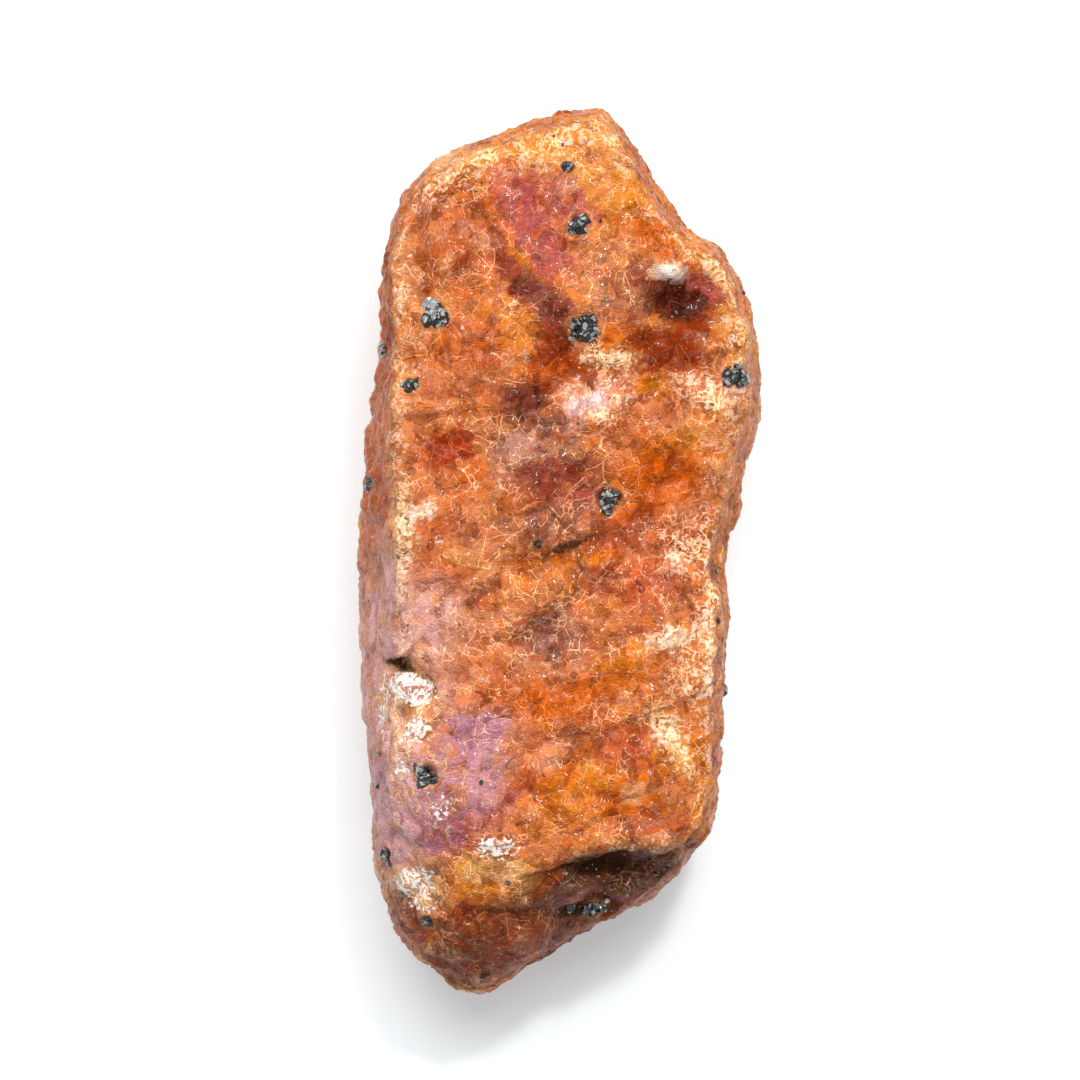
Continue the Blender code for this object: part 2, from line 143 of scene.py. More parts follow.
# Lumps and hollows of the broad face: place, half sizes, turn in degrees, height (below zero is a hollow).
LUMPS = {
    "maroon hollow": ((7.0, 13.8), (1.9, 1.4), 20, -0.65),
    "glossy knob beside it": ((6.1, 15.6), (0.95, 0.48), -14, 0.55),
    "waist dip": ((8.2, 0.4), (2.4, 3.2), 0, -0.60),
    "right ridge": ((8.6, 8.6), (1.4, 4.6), -6, 0.30),
    "upper middle swell": ((-1.6, 12.2), (4.6, 3.6), 30, 0.28),
    "dip under the swell": ((1.6, 9.6), (2.6, 1.4), -20, -0.34),
    "pale swell": ((1.9, 8.0), (1.9, 1.5), 15, 0.32),
    "left middle dip": ((-6.6, 4.6), (2.4, 2.6), 0, -0.34),
    "left ridge knob": ((-8.7, 0.3), (1.0, 1.9), 0, 0.26),
    "centre swell": ((-1.6, 5.4), (3.2, 2.2), 10, 0.26),
    "red flank": ((3.6, 3.6), (2.6, 1.9), 35, -0.26),
    "lower middle dip": ((-1.0, -4.8), (3.2, 1.7), 0, -0.32),
    "lower swell": ((5.0, -4.4), (2.6, 1.8), 25, 0.26),
    "mauve swell": ((-5.0, -11.4), (2.8, 3.6), 20, 0.22),
    "amber dip": ((0.9, -13.0), (2.6, 1.6), 10, -0.26),
    "ledge brow": ((4.9, -15.7), (3.2, 0.7), 0, 0.36),
    "dark hollow under the ledge": ((2.6, -17.5), (1.7, 0.7), 4, -0.75),
    "chalk bay": ((-8.5, -8.2), (1.1, 1.7), -22, -0.80),
    "lower chalk patch": ((-7.8, -18.1), (1.4, 0.7), 20, -0.30),
    "corner knob": ((-7.7, -22.1), (0.75, 0.75), 0, 0.40),
    "tip dimple": ((-3.9, -22.4), (1.5, 0.9), 0, -0.22),
}

# Lumps and hollows of the back, in the same form.
BACK_LUMPS = {
    "broken corner": ((6.6, 12.4), (2.6, 3.2), 20, -0.70),
    "long hollow": ((-6.8, -4.0), (1.5, 5.0), 6, -0.55),
    "pit row": ((7.4, -6.2), (1.3, 2.2), -10, -0.50),
    "top swell": ((-3.4, 17.4), (3.0, 2.0), 25, 0.35),
    "tip swell": ((-3.0, -17.6), (2.6, 2.2), 0, 0.30),
}

# Lumps and hollows of the sides and ends: place in space, reach and height.
SIDE_LUMPS = {
    "left hollow": ((-10.2, 7.4, 3.6), 3.0, -0.55),
    "left swell": ((-10.4, -9.6, 12.2), 2.4, 0.22),
    "left low step": ((-9.8, -14.8, 3.4), 2.6, -0.50),
    "right hollow": ((9.2, -8.8, 3.8), 2.8, -0.55),
    "right shoulder swell": ((10.6, 9.0, 4.4), 3.0, 0.30),
    "waist hollow": ((9.0, 0.2, 11.8), 2.2, -0.40),
    "top end hollow": ((-1.4, 23.8, 4.2), 3.0, -0.60),
    "bevel hollow": ((5.6, 20.0, 11.6), 2.2, -0.30),
    "tip end swell": ((-3.4, -23.0, 4.6), 2.4, 0.30),
    "end face hollow": ((5.6, -18.2, 4.4), 2.6, -0.50),
}

# Creases cut along a line: the points it runs through, half width and depth.
CREASES = {
    "diagonal crease": ([(-1.9, -0.9), (0.4, -0.2), (3.4, 0.9), (5.1, 2.5), (6.6, 4.6)], 0.80, 0.42),
    "crease above the tip": ([(-5.0, -19.9), (-2.0, -20.2), (0.6, -19.7), (2.4, -19.2)], 0.66, 0.45),
    "upper left groove": ([(-8.5, 20.0), (-8.3, 18.2), (-7.9, 16.2), (-7.5, 14.2)], 0.75, 0.50),
    "dark arc of the bay": ([(-9.3, -6.4), (-8.5, -6.2), (-7.8, -6.7), (-7.3, -7.4)], 0.40, 0.65),
    "waist crease": ([(4.0, -0.4), (6.2, 0.1), (8.6, -0.6)], 0.60, 0.24),
}

# Ledges: the surface steps down on the right-hand side of a line walked from its first point to its last.
LEDGES = {
    "curved ledge": ([(-7.2, 7.6), (-5.6, 7.9), (-4.0, 8.0), (-2.6, 7.6)], 0.24, 1.7),
    "diagonal ledge": ([(2.0, -9.6), (4.8, -8.9), (7.9, -7.5)], 0.28, 2.0),
    "streak edge": ([(5.0, -8.6), (6.4, -10.9), (7.4, -12.6)], 0.20, 1.2),
    "rim of the end face": ([(-0.8, -17.4), (1.9, -16.6), (4.6, -16.4), (8.0, -16.3)], 0.34, 1.5),
    "band edge": ([(-3.9, 17.4), (-2.5, 14.8), (-1.0, 12.2)], 0.18, 1.3),
}
LEDGE_SOFTNESS = 0.25

# Slow swells and dimples of the skin: size, height and the seed of their random numbers.
SWELLS = {"slow": (6.5, 0.34, 3), "middling": (2.5, 0.16, 5)}
DIMPLE_SIZE, DIMPLE_DEPTH, DIMPLE_RIM, DIMPLE_SEED = 2.1, 0.13, 0.6, 8
LUMP_FIRMNESS, CHIP_FIRMNESS = 1.4, 3.0
FADE_OVER_REST = 1.0
QUIET_WALLS = 0.3
LEVEL_FADE = (0.05, 0.45)

# The lattice of random numbers behind the noise, and where the stone's middle lies in it.
LATTICE = 32
LATTICE_MIDDLE = 233.6

# Grain name: place in plan (past the edge of the broad face it sits on the side), size across and turn.
GRAINS = {
    "upper": ((1.04, 18.28), (1.50, 0.95), 10),
    "left top": ((-6.89, 13.22), (1.55, 1.35), 35),
    "upper middle": ((1.38, 12.49), (1.40, 1.70), 70),
    "right shoulder": ((9.70, 9.79), (1.20, 1.10), 0),
    "middle": ((2.84, 2.92), (1.20, 1.60), 15),
    "mauve": ((-7.45, -12.43), (1.20, 1.35), 50),
    "left edge": ((-10.66, 3.77), (0.80, 1.30), 20),
    "left upper": ((-8.35, 9.34), (0.70, 0.90), 0),
    "left high": ((-9.87, 11.20), (0.65, 0.95), 10),
    "left low": ((-9.70, -16.98), (0.75, 1.00), 30),
    "right low": ((9.14, -7.82), (0.75, 1.05), 0),
    "end": ((1.80, -20.02), (1.60, 0.60), 14),
    "corner": ((-7.37, -20.64), (1.00, 0.70), -20),
}

# Finer forms of the skin, that only the dressed stone has

# The skin's grid: rings from the blunt end to the tip, points round each ring, how closely the points of the
# back are set beside those of the broad face, how square the grid's box is, and the steps that measure it.
RINGS = 371
RING_POINTS = 266
BACK_DENSITY = 0.42
GRID_ROUNDNESS = 3.2
GRID_STEPS = 4001

# Small pits and knobs of the broad face: pixel of the picture, half sizes in millimetres, turn, height.
FINE_LUMPS = {
    "ring pit": ((501, 223), (0.30, 0.24), 20, -0.34),
    "ring pit below": ((500, 237), (0.26, 0.22), 0, -0.26),
    "middle ring pit": ((609, 443), (0.34, 0.28), 30, -0.24),
    "hollow's knob": ((670, 276), (0.62, 0.30), -14, 0.30),
    "orange bead": ((674, 826), (0.50, 0.46), 0, 0.34),
    "chalk lip": ((498, 838), (1.20, 0.30), 12, 0.26),
    "chalk crack": ((503, 836), (0.60, 0.12), 8, -0.40),
    "bay floor": ((406, 690), (0.60, 0.70), -30, 0.26),
    "bay floor below": ((424, 730), (0.60, 0.34), 30, 0.30),
    "bay dark mouth": ((398, 664), (0.66, 0.28), 12, -0.70),
    "crust above the pale field": ((604, 360), (1.00, 0.34), -8, 0.26),
    "brown pit": ((507, 228), (0.22, 0.22), 0, -0.30),
    "corner chalk": ((412, 884), (0.80, 0.46), 20, 0.28),
    "edge pit": ((718, 571), (0.26, 0.30), 0, -0.24),
}

# Zones of colour of the broad face, painted one over the other: paint, middle and half sizes in pixels of the
# picture, turn in degrees (anticlockwise), strength, and firmness of the rim (1 is soft, 3 is crisp).
ZONES = {
    "left wall": ("terracotta", (376, 400), (22, 205), 0, 0.85, 2.0),
    "left wall low": ("pale mauve", (368, 750), (40, 208), 3, 0.97, 2.0),
    "left wall foot": ("heather", (374, 800), (20, 66), 3, 0.40, 1.6),
    "right wall": ("tan", (750, 400), (24, 120), 0, 0.80, 2.0),
    "right wall low": ("honey", (727, 650), (13, 130), 3, 0.85, 2.5),
    "left groove": ("tan", (404, 245), (18, 62), 8, 0.80, 1.6),
    "top crust": ("honey", (548, 141), (88, 24), 14, 0.95, 2.0),
    "top left crust": ("honey", (447, 177), (44, 20), 27, 0.95, 1.6),
    # painted highlight along the top left rim, over pale crust
    "top left crust and painted highlight": ("cream", (432, 168), (34, 9), 38, 0.95, 1.6),
    "top orange streak": ("golden", (522, 142), (30, 9), 18, 0.70, 1.6),
    "peak crust": ("cream", (612, 148), (20, 7), -50, 0.70, 1.2),
    "upper right amber": ("honey", (622, 182), (46, 40), -50, 0.60, 1.5),
    "upper right bevel": ("salmon", (648, 164), (54, 9), -55, 0.85, 2.0),
    # painted highlight along the upper right edge
    "upper right painted highlight": ("blush", (664, 186), (64, 5), -55, 0.60, 2.0),
    "upper rust": ("rust", (455, 245), (36, 62), 10, 0.85, 1.3),
    "upper left salmon": ("salmon", (432, 212), (30, 36), 20, 0.75, 1.4),
    "top mid light": ("honey", (552, 172), (26, 10), 14, 0.70, 1.5),
    "rust cap": ("coral", (500, 171), (22, 9), 12, 0.80, 1.5),
    "tan under the bands": ("tan", (602, 262), (34, 30), 0, 0.75, 1.4),
    "rose band": ("rose", (534, 228), (60, 24), -64, 0.97, 3.0),
    "pink band": ("rose", (567, 203), (34, 17), -52, 0.95, 2.5),
    "pink band's light": ("blush", (566, 192), (14, 9), -40, 0.70, 1.5),
    "maroon band": ("dusty rose", (503, 262), (40, 13), -62, 0.90, 3.0),
    "wedge between": ("golden", (524, 266), (28, 6), -66, 0.85, 2.5),
    "gold between the bands": ("coral", (551, 222), (50, 4), -62, 0.80, 3.0),
    "plum patch": ("plum", (543, 303), (42, 17), -42, 0.97, 2.2),
    "pink blob": ("blush", (477, 239), (15, 9), -30, 0.85, 1.3),
    "orange patch": ("golden", (638, 200), (20, 20), 0, 0.70, 1.4),
    "right orange": ("orange", (655, 238), (30, 15), -38, 0.85, 1.5),
    "right crust": ("honey", (706, 256), (46, 14), -44, 0.90, 1.8),
    "shoulder": ("honey", (736, 322), (18, 44), 10, 0.85, 1.6),
    # The hollow is painted dark: its maroon colour with painted shade in it.
    "hollow": ("mahogany", (676, 303), (38, 27), -16, 0.97, 2.0),
    "hollow's plum side": ("plum", (646, 278), (20, 15), 0, 0.85, 1.5),
    "hollow's rose side": ("rose", (706, 291), (20, 8), -18, 0.95, 1.8),
    # The glossy knob over the hollow is painted pale and white: a painted highlight.
    "hollow's knob": ("blush", (667, 276), (18, 8), -10, 0.97, 1.8),
    "knob's painted highlight": ("chalk", (670, 274), (14, 8), -10, 1.00, 1.8),
    "taupe field": ("taupe", (616, 300), (24, 28), 0, 0.55, 1.3),
    "ember field": ("ember", (668, 352), (46, 27), 8, 0.97, 1.9),
    "grain's halo": ("taupe", (738, 388), (20, 16), 0, 0.70, 1.4),
    "golden patch": ("golden", (516, 337), (22, 24), 0, 0.95, 1.5),
    "small rose": ("salmon", (512, 361), (15, 9), -10, 0.80, 1.8),
    "brown orange": ("ember", (556, 356), (24, 30), -10, 0.88, 1.6),
    "orange beside": ("orange", (546, 380), (30, 12), 10, 0.80, 1.5),
    "red brown left": ("rust", (474, 348), (32, 24), 0, 0.80, 1.5),
    "salmon left": ("salmon", (436, 396), (32, 24), 0, 0.85, 1.5),
    "maroon middle": ("maroon", (526, 405), (26, 19), 28, 0.95, 1.8),
    "grey plum": ("taupe", (536, 448), (50, 36), 18, 0.88, 1.6),
    "grey plum's light": ("pale mauve", (518, 452), (22, 13), 25, 0.35, 1.4),
    "grey plum's edge": ("plum", (548, 470), (26, 11), 12, 0.70, 1.8),
    "red patch": ("red orange", (450, 449), (27, 16), 14, 0.95, 1.9),
    "pale field": ("blush", (600, 398), (38, 22), 20, 0.90, 1.5),
    "pale field's heart": ("pale mauve", (586, 404), (22, 13), 15, 0.85, 1.4),
    "pale crust": ("cream", (608, 360), (24, 8), -8, 0.85, 1.5),
    "gold beside": ("golden", (650, 385), (15, 10), 0, 0.85, 1.6),
    "salmon flank": ("salmon", (670, 412), (40, 16), 8, 0.80, 1.5),
    "amber flank above": ("honey", (700, 430), (22, 30), 0, 0.55, 1.4),
    "fan": ("blush", (704, 392), (26, 14), -20, 0.60, 1.3),
    "right tan": ("amber", (722, 440), (26, 40), 0, 0.70, 1.4),
    "right salmon": ("salmon", (694, 520), (28, 34), 0, 0.65, 1.4),
    "saturated orange": ("orange", (655, 482), (44, 32), 25, 0.96, 1.8),
    "rusty flank": ("coral", (628, 528), (34, 14), 22, 0.70, 1.5),
    "dusty field": ("dusty rose", (564, 486), (44, 26), 8, 0.95, 1.8),
    "dusty field's pink": ("rose", (582, 500), (24, 14), 8, 0.55, 1.6),
    "crease field": ("taupe", (546, 526), (52, 20), 10, 0.80, 1.4),
    "left pale patch": ("chalk", (423, 513), (14, 8), 20, 0.85, 1.4),
    "left ridge": ("cream", (401, 540), (10, 56), 0, 0.80, 1.6),
    "tan band": ("tan", (480, 548), (50, 14), 8, 0.75, 1.5),
    "left orange": ("orange", (440, 572), (34, 14), -10, 0.92, 1.6),
    "left red streak": ("red orange", (462, 592), (32, 6), -16, 0.75, 1.8),
    "coral field": ("coral", (652, 580), (46, 30), 22, 0.88, 1.5),
    "coral's light": ("blush", (676, 560), (16, 14), 0, 0.75, 1.4),
    "plum rose": ("dusty rose", (594, 580), (20, 18), 0, 0.80, 1.6),
    "tan middle": ("tan", (540, 592), (30, 20), 10, 0.70, 1.5),
    "taupe middle": ("taupe", (550, 634), (34, 28), 20, 0.97, 1.8),
    "taupe's light": ("blush", (574, 622), (13, 9), 20, 0.55, 1.6),
    "coral low": ("coral", (640, 630), (22, 11), 30, 0.80, 1.6),
    "white streak": ("chalk", (672, 638), (17, 7), 12, 0.85, 1.3),
    "golden middle": ("golden", (624, 666), (34, 18), 28, 0.97, 1.8),
    "golden's heart": ("orange", (622, 678), (26, 6), 20, 0.60, 1.8),
    "pale mauve corner": ("pale mauve", (416, 648), (46, 56), 0, 0.92, 1.8),
    "blush field": ("blush", (444, 646), (48, 40), -18, 0.92, 2.0),
    "pink lilac": ("mauve", (424, 652), (24, 26), 0, 0.60, 1.6),
    "lilac haze": ("pale mauve", (430, 606), (36, 40), -18, 0.55, 1.6),
    "lower left ridge": ("pale mauve", (397, 650), (18, 110), 2, 0.90, 1.8),
    "bay crust": ("cream", (408, 704), (22, 46), 8, 0.80, 1.6),
    "corner crust": ("cream", (414, 886), (34, 24), 10, 0.80, 1.4),
    "salmon edge": ("salmon", (482, 650), (16, 34), -28, 0.70, 1.5),
    "orange diagonal": ("orange", (560, 700), (64, 14), 24, 0.88, 1.7),
    "mauve arm": ("pale mauve", (408, 790), (26, 70), 6, 0.92, 2.0),
    "mauve field": ("mauve", (468, 768), (46, 62), -14, 0.96, 2.6),
    "lilac heart": ("lilac", (482, 728), (28, 20), 20, 0.85, 1.6),
    "heather": ("heather", (446, 830), (28, 24), 10, 0.88, 1.6),
    "heather corner": ("heather", (476, 812), (16, 14), 40, 0.60, 1.6),
    "salmon facet": ("salmon", (526, 742), (24, 21), 40, 0.85, 2.2),
    "rose streak": ("rose", (518, 792), (50, 7), 47, 0.65, 2.6),
    "rose facet": ("blush", (557, 752), (28, 12), 40, 0.95, 2.0),
    "salmon flat": ("coral", (626, 752), (28, 24), 0, 0.90, 1.8),
    "golden low": ("golden", (580, 796), (46, 27), 14, 0.92, 1.6),
    "orange low": ("orange", (622, 800), (30, 16), 20, 0.75, 1.5),
    "streaked facet": ("cream", (668, 738), (38, 13), -58, 0.80, 1.7),
    "amber flank": ("amber", (700, 700), (24, 66), 4, 0.75, 1.5),
    "flank's gold": ("golden", (692, 762), (16, 30), 0, 0.65, 1.4),
    "pale specks": ("cream", (634, 792), (15, 9), 0, 0.70, 1.3),
    "brown corner": ("rust", (662, 818), (24, 14), -20, 0.80, 1.5),
    "bead": ("orange", (674, 826), (9, 8), 0, 0.97, 2.8),
    "honey corner": ("honey", (704, 812), (17, 24), 0, 0.85, 1.6),
    "amber glass": ("honey", (498, 874), (46, 24), -6, 0.92, 1.8),
    "amber glass's gold": ("golden", (480, 884), (26, 10), 0, 0.60, 1.5),
    "glass's light": ("cream", (500, 870), (36, 12), -6, 0.80, 1.5),
    "ledge rim": ("rust", (642, 838), (56, 9), 14, 0.80, 1.6),
    "end face": ("umber pink", (622, 888), (94, 34), 16, 0.97, 2.4),
    # End maroon and end shade: painted shade just under the ledge.
    "end maroon": ("mahogany", (602, 862), (48, 17), 8, 0.97, 1.8),
    "end shade": ("umber", (606, 882), (76, 24), 15, 0.50, 1.6),
    "end green": ("umber", (560, 916), (44, 12), 16, 0.60, 1.5),
    "tip face": ("umber pink", (496, 946), (84, 42), 24, 0.90, 2.0),
    "tip rose": ("dusty rose", (512, 945), (30, 18), 20, 0.60, 1.5),
    "tip corner": ("plum", (404, 925), (16, 34), 24, 0.80, 1.6),
}

# Zones of the back, in the same form but with places and half sizes in millimetres.
BACK_ZONES = {
    "mauve behind": ("mauve", (-5.5, -9.0), (5.5, 9.0), 10, 0.90, 1.8),
    "rose lamella": ("rose", (1.5, 11.0), (7.5, 1.1), -62, 0.90, 2.6),
    "plum lamella": ("plum", (4.2, 9.0), (5.0, 0.9), -60, 0.80, 2.4),
    "honey end": ("honey", (-1.0, 20.5), (6.5, 3.0), 10, 0.85, 1.6),
    "orange heart": ("orange", (2.0, 0.5), (5.0, 4.5), 30, 0.90, 1.5),
    "coral flank": ("coral", (6.5, -8.0), (3.4, 5.0), 0, 0.80, 1.5),
    "pale vein": ("cream", (-1.0, 4.6), (6.0, 0.8), 24, 0.75, 1.5),
    "ember corner": ("ember", (6.4, 12.6), (2.6, 3.2), 20, 0.80, 1.6),
    "tan field": ("tan", (-6.8, 9.5), (3.2, 6.0), 0, 0.75, 1.5),
    "dusty tip": ("dusty rose", (-3.6, -20.6), (4.6, 2.8), -20, 0.85, 1.6),
}

# Marks of the skin in the same form as the zones, without paint: chalky filling, dark dirt together with
# painted shade in creases, hollows and under the ledge, feathery veils and calm glass without cracks.
CHALK = {
    "bay": ((413, 688), (24, 18), -24, 0.90, 1.5),
    "bay below": ((418, 728), (19, 14), 36, 0.74, 1.2),
    "bay foot": ((404, 760), (11, 20), 0, 0.50, 1.0),
    "corner": ((412, 880), (28, 16), 14, 0.70, 1.2),
    "corner below": ((424, 904), (20, 13), 0, 0.52, 1.0),
    "centre": ((498, 845), (26, 12), 8, 0.78, 1.4),
    "specks": ((440, 806), (14, 22), 0, 0.46, 1.0),
    "wall": ((384, 706), (10, 34), 0, 0.46, 1.0),
}
# Partly dirt and partly painted shade: dark patches in the creases, the hollows and under the ledge.
DIRT_AND_SHADE = {
    "bay mouth": ((400, 665), (20, 6), -16, 0.97, 2.0),
    "bay stain": ((402, 708), (8, 20), 10, 0.55, 1.2),
    "corner stain": ((398, 892), (10, 22), 30, 0.55, 1.2),
    "hollow's painted shade": ((676, 314), (9, 6), 0, 0.80, 1.3),
    "ledge's shade": ((598, 862), (46, 14), 8, 0.80, 1.6),
    "crease debris": ((568, 546), (40, 8), 24, 0.75, 1.3),
    "crease upper": ((530, 512), (34, 5), 14, 0.55, 1.3),
    "crease dot": ((538, 544), (6, 5), 0, 0.90, 1.5),
    "grain's trail": ((604, 340), (22, 6), -26, 0.55, 1.3),
    "wall smudge": ((381, 780), (7, 24), 0, 0.45, 1.4),
    "groove": ((413, 235), (5, 34), 8, 0.40, 1.2),
    "corner cluster": ((430, 920), (15, 9), -14, 0.65, 1.3),
    "end's green": ((578, 909), (30, 8), 14, 0.85, 1.5),
    "tip crease": ((510, 908), (50, 5), 5, 0.50, 1.6),
    "tip pit": ((484, 976), (8, 5), 20, 0.70, 1.4),
    "under the grain": ((586, 246), (18, 10), -20, 0.40, 1.2),
    "ledge line": ((648, 712), (46, 3), 18, 0.50, 1.8),
}
VEILS = {
    "crust": ((604, 360), (28, 10), -8, 0.90, 1.4),
    "pale field": ((600, 400), (36, 20), 16, 0.62, 1.4),
    "fan": ((704, 392), (30, 18), -20, 0.62, 1.4),
    "left patch": ((423, 512), (16, 9), 20, 0.90, 1.4),
    "left ridge": ((402, 540), (9, 60), 0, 0.70, 1.5),
    "right bumps": ((688, 548), (26, 24), 0, 0.74, 1.3),
    "streak": ((674, 636), (26, 12), 12, 0.97, 1.4),
    "below the streak": ((690, 676), (16, 30), 0, 0.60, 1.3),
    "streaked facet": ((670, 740), (42, 15), -58, 0.84, 1.8),
    "right flank": ((712, 640), (14, 120), 3, 0.75, 1.6),
    "right crust": ((700, 250), (50, 18), -42, 0.75, 1.5),
    "top crust": ((540, 142), (90, 24), 14, 0.45, 1.6),
    "top left crust": ((440, 180), (50, 22), 32, 0.65, 1.6),
    "shoulder": ((738, 340), (16, 50), 0, 0.28, 1.5),
}
CALM = {
    "left wall": ((374, 620), (20, 330), 0, 0.80, 3.0),
    "mauve field": ((468, 768), (46, 62), -14, 0.35, 2.0),
    "blush field": ((436, 645), (48, 36), -18, 0.35, 1.6),
    "mauve arm": ((412, 790), (26, 66), 6, 0.35, 2.0),
    "shoulder wall": ((756, 360), (10, 60), 0, 0.60, 2.0),
    # keeps the knob's painted highlight free of cracks and deep tones
    "hollow's knob": ((668, 274), (18, 8), -10, 1.00, 1.8),
    "rose band": ((534, 228), (60, 24), -64, 0.45, 3.0),
    "end face": ((622, 888), (94, 34), 16, 0.60, 2.4),
    "tip face": ((496, 946), (84, 42), 24, 0.40, 2.0),
    "salmon facet": ((526, 742), (24, 21), 40, 0.50, 2.0),
}

# Tiny black specks: pixel of the picture and width in millimetres.
SPECKS = [
    ((538, 544), 0.42),
    ((606, 299), 0.34),
    ((717, 571), 0.36),
    ((717, 620), 0.30),
    ((507, 880), 0.26),
    ((655, 871), 0.26),
    ((742, 294), 0.24),
    ((481, 779), 0.22),
    ((553, 141), 0.18),
    ((562, 150), 0.20),
    ((568, 171), 0.62),
    ((600, 226), 0.26),
    ((380, 752), 0.30),
    ((379, 785), 0.34),
    ((571, 906), 0.60),
    ((607, 901), 0.44),
]

# The net of cells: how far it is warped, over what size and with which seed, its shift from the lattice, the
# number that its draws start from, how near two cells' middles count as one, how far a zone's rim follows
# the cells, the pillows' rim, tilt and level, and the share of their height that calm spots lose.
NET_WARP, NET_WARP_SIZE, NET_SEED = 0.90, 1.7, 31
NET_SHIFT = np.array((100.0, 100.0, 100.0))
DRAW_START, FULL_BITS = 0xDEADBEEF, 0xFFFFFFFF
ONE_CELL = 1e-4
CELL_SNAP = 0.8
PILLOW_RIM = 0.25
PILLOW_TILT = 2.4
PILLOW_LEVEL = 0.6
CALM_SHARE = 0.5

# The skin's slopes and heights: where a wall starts and is full, by how far the skin faces up or down; how
# often the grid is averaged to find its ridges and hollows, and where those start and are full.
STEEP = (0.30, 0.60)
BULGE_PASSES = 60
# Ridges are painted pale, partly crust and partly painted highlight; hollows are painted darker as painted
# shade.
RIDGE_RISE, RIDGE_CRUST_AND_HIGHLIGHT = (0.10, 0.34), 0.22
HOLLOW_RISE = (0.04, 0.24)

# Fine noise of the skin: size, height, seed, and whether it lies on the walls alone.
FINE_NOISES = {"soft": (1.1, 0.09, 41, False), "wall bumps": (0.60, 0.10, 44, True)}

# The rims of the zones: how far they are warped, over what size and with which seed, the heights between
# which the zones of the back turn into those of the broad face, and what is added to their firmness.
ZONE_WARP, ZONE_WARP_SIZE, ZONE_SEED = 0.20, 1.5, 35
WALL_WARP, WALL_WARP_SIZE, WALL_SEED = 0.8, 3.0, 37
ZONE_HEIGHTS = (0.5, 3.0)
CRISPNESS = 1.0

# The paint of the body, and the clouds of other paints in it: size, seed, strength, and the noise from and
# to which a cloud rises.
BODY_PAINT = "rust"
BODY_CLOUDS = {
    "amber": (3.4, 21, 1.0, (-0.55, 0.15)),
    "orange": (2.3, 22, 0.8, (0.10, 0.50)),
    "tan": (2.8, 23, 0.8, (0.15, 0.60)),
    "golden": (2.5, 24, 0.6, (0.20, 0.60)),
    "salmon": (2.0, 29, 0.7, (0.05, 0.50)),
}

# Clouds of paint on the walls: size, seed, strength, and 1 towards the blunt end or -1 towards the tip. They
# change over at a turn in the length, within a blend on both sides of it.
WALL_CLOUDS = {
    "rust": (2.6, 26, 0.50, 1.0),
    "salmon": (3.0, 27, 0.60, 1.0),
    "golden": (2.2, 28, 0.40, 1.0),
    "dusty rose": (2.8, 30, 0.35, 1.0),
    "heather": (2.4, 32, 0.55, -1.0),
    "blush": (2.0, 33, 0.60, -1.0),
    "tan": (2.6, 34, 0.22, -1.0),
}
WALL_CLOUD_RISE = (0.05, 0.45)
WALL_TURN, WALL_BLEND = -2.0, 3.5

# The marks that the material reads, the share of a veil that the walls lose, and the veil on ridges.
# Of these, the dirt mark also holds painted shade, and depth is painted shade that darkens the hollows.
MARKS = ("chalk", "dirt", "veil", "calm", "depth", "wall")
VEIL_LOSS, RIDGE_VEIL = 0.85, 0.25

# How clear, without cracks and frost, the stone is where a paint lies.
CLEARNESS = {
    "orange": 0.70,
    "ember": 0.90,
    "red orange": 0.85,
    "maroon": 0.85,
    "mahogany": 0.95,
    "plum": 0.70,
    "rose": 0.55,
    "dusty rose": 0.60,
    "mauve": 0.20,
    "lilac": 0.20,
    "heather": 0.30,
    "umber pink": 0.60,
    "pale mauve": 0.60,
    "terracotta": 0.55,
    "golden": 0.35,
    "salmon": 0.35,
    "coral": 0.35,
    "rust": 0.30,
}

# Cells that take another paint: the share of the draws it takes, from and to, and its strength.
CELL_PAINTS = {
    "orange": (0.00, 0.09, 0.45),
    "blush": (0.09, 0.17, 0.45),
    "coral": (0.17, 0.26, 0.45),
    "golden": (0.26, 0.34, 0.45),
    "ember": (0.34, 0.39, 0.35),
}

# Round each large grain, with distances in half widths of the grain: how the distance is wobbled, over what
# size, with which seed and how far out, the pit's depth and where it ends, its raised rim's height, place and
# width, the pale rim's strength, place and width, and the strength and end of the painted shade at its foot.
PIT_WOBBLE, PIT_WOBBLE_SIZE, PIT_SEED, PIT_WOBBLE_REACH = 0.45, 0.6, 51, 3.0
PIT_DEPTH, PIT_END = 0.15, (0.55, 1.1)
PIT_RIM, PIT_RIM_AT, PIT_RIM_WIDTH = 0.07, 1.25, 0.28
PALE_RIM, PALE_RIM_AT, PALE_RIM_WIDTH = 0.40, 1.20, 0.16
SHADED_FOOT, SHADED_FOOT_END = 0.85, (0.70, 0.95)

# The chunks of the grains: the skin's reach that a seat is averaged over; how many make a grain, how far one
# strays round its spiral, its width and a speck's beside the grain's, and how it is stretched; how deep it is
# sunk beside its width, how much lower the outer ones are, and how uneven all are.
SEAT_REACH = 0.5
CHUNKS_IN_GRAIN = 8
CHUNK_SEED = 77
GOLDEN_ANGLE = math.pi * (3.0 - math.sqrt(5.0))
CHUNK_STRAY = 0.5
CHUNK_WIDTH, SPECK_WIDTH = (0.26, 0.40), 0.5
CHUNK_STRETCH = (0.8, 1.2)
CHUNK_SUNK, CROWN, CHUNK_UNEVEN = 0.60, 0.10, 0.06

# One chunk: its grid, its random planes and the nearest of them, and how sharp its corners are and how far
# out they may reach. A plane that faces away from a direction counts there as the least.
CHUNK_RINGS, CHUNK_ROUND = 9, 14
CHUNK_PLANES, CHUNK_NEAREST = 11, 0.62
CHUNK_SHARPNESS, CHUNK_CORNER, CHUNK_LEAST = 60.0, 1.25, 0.1

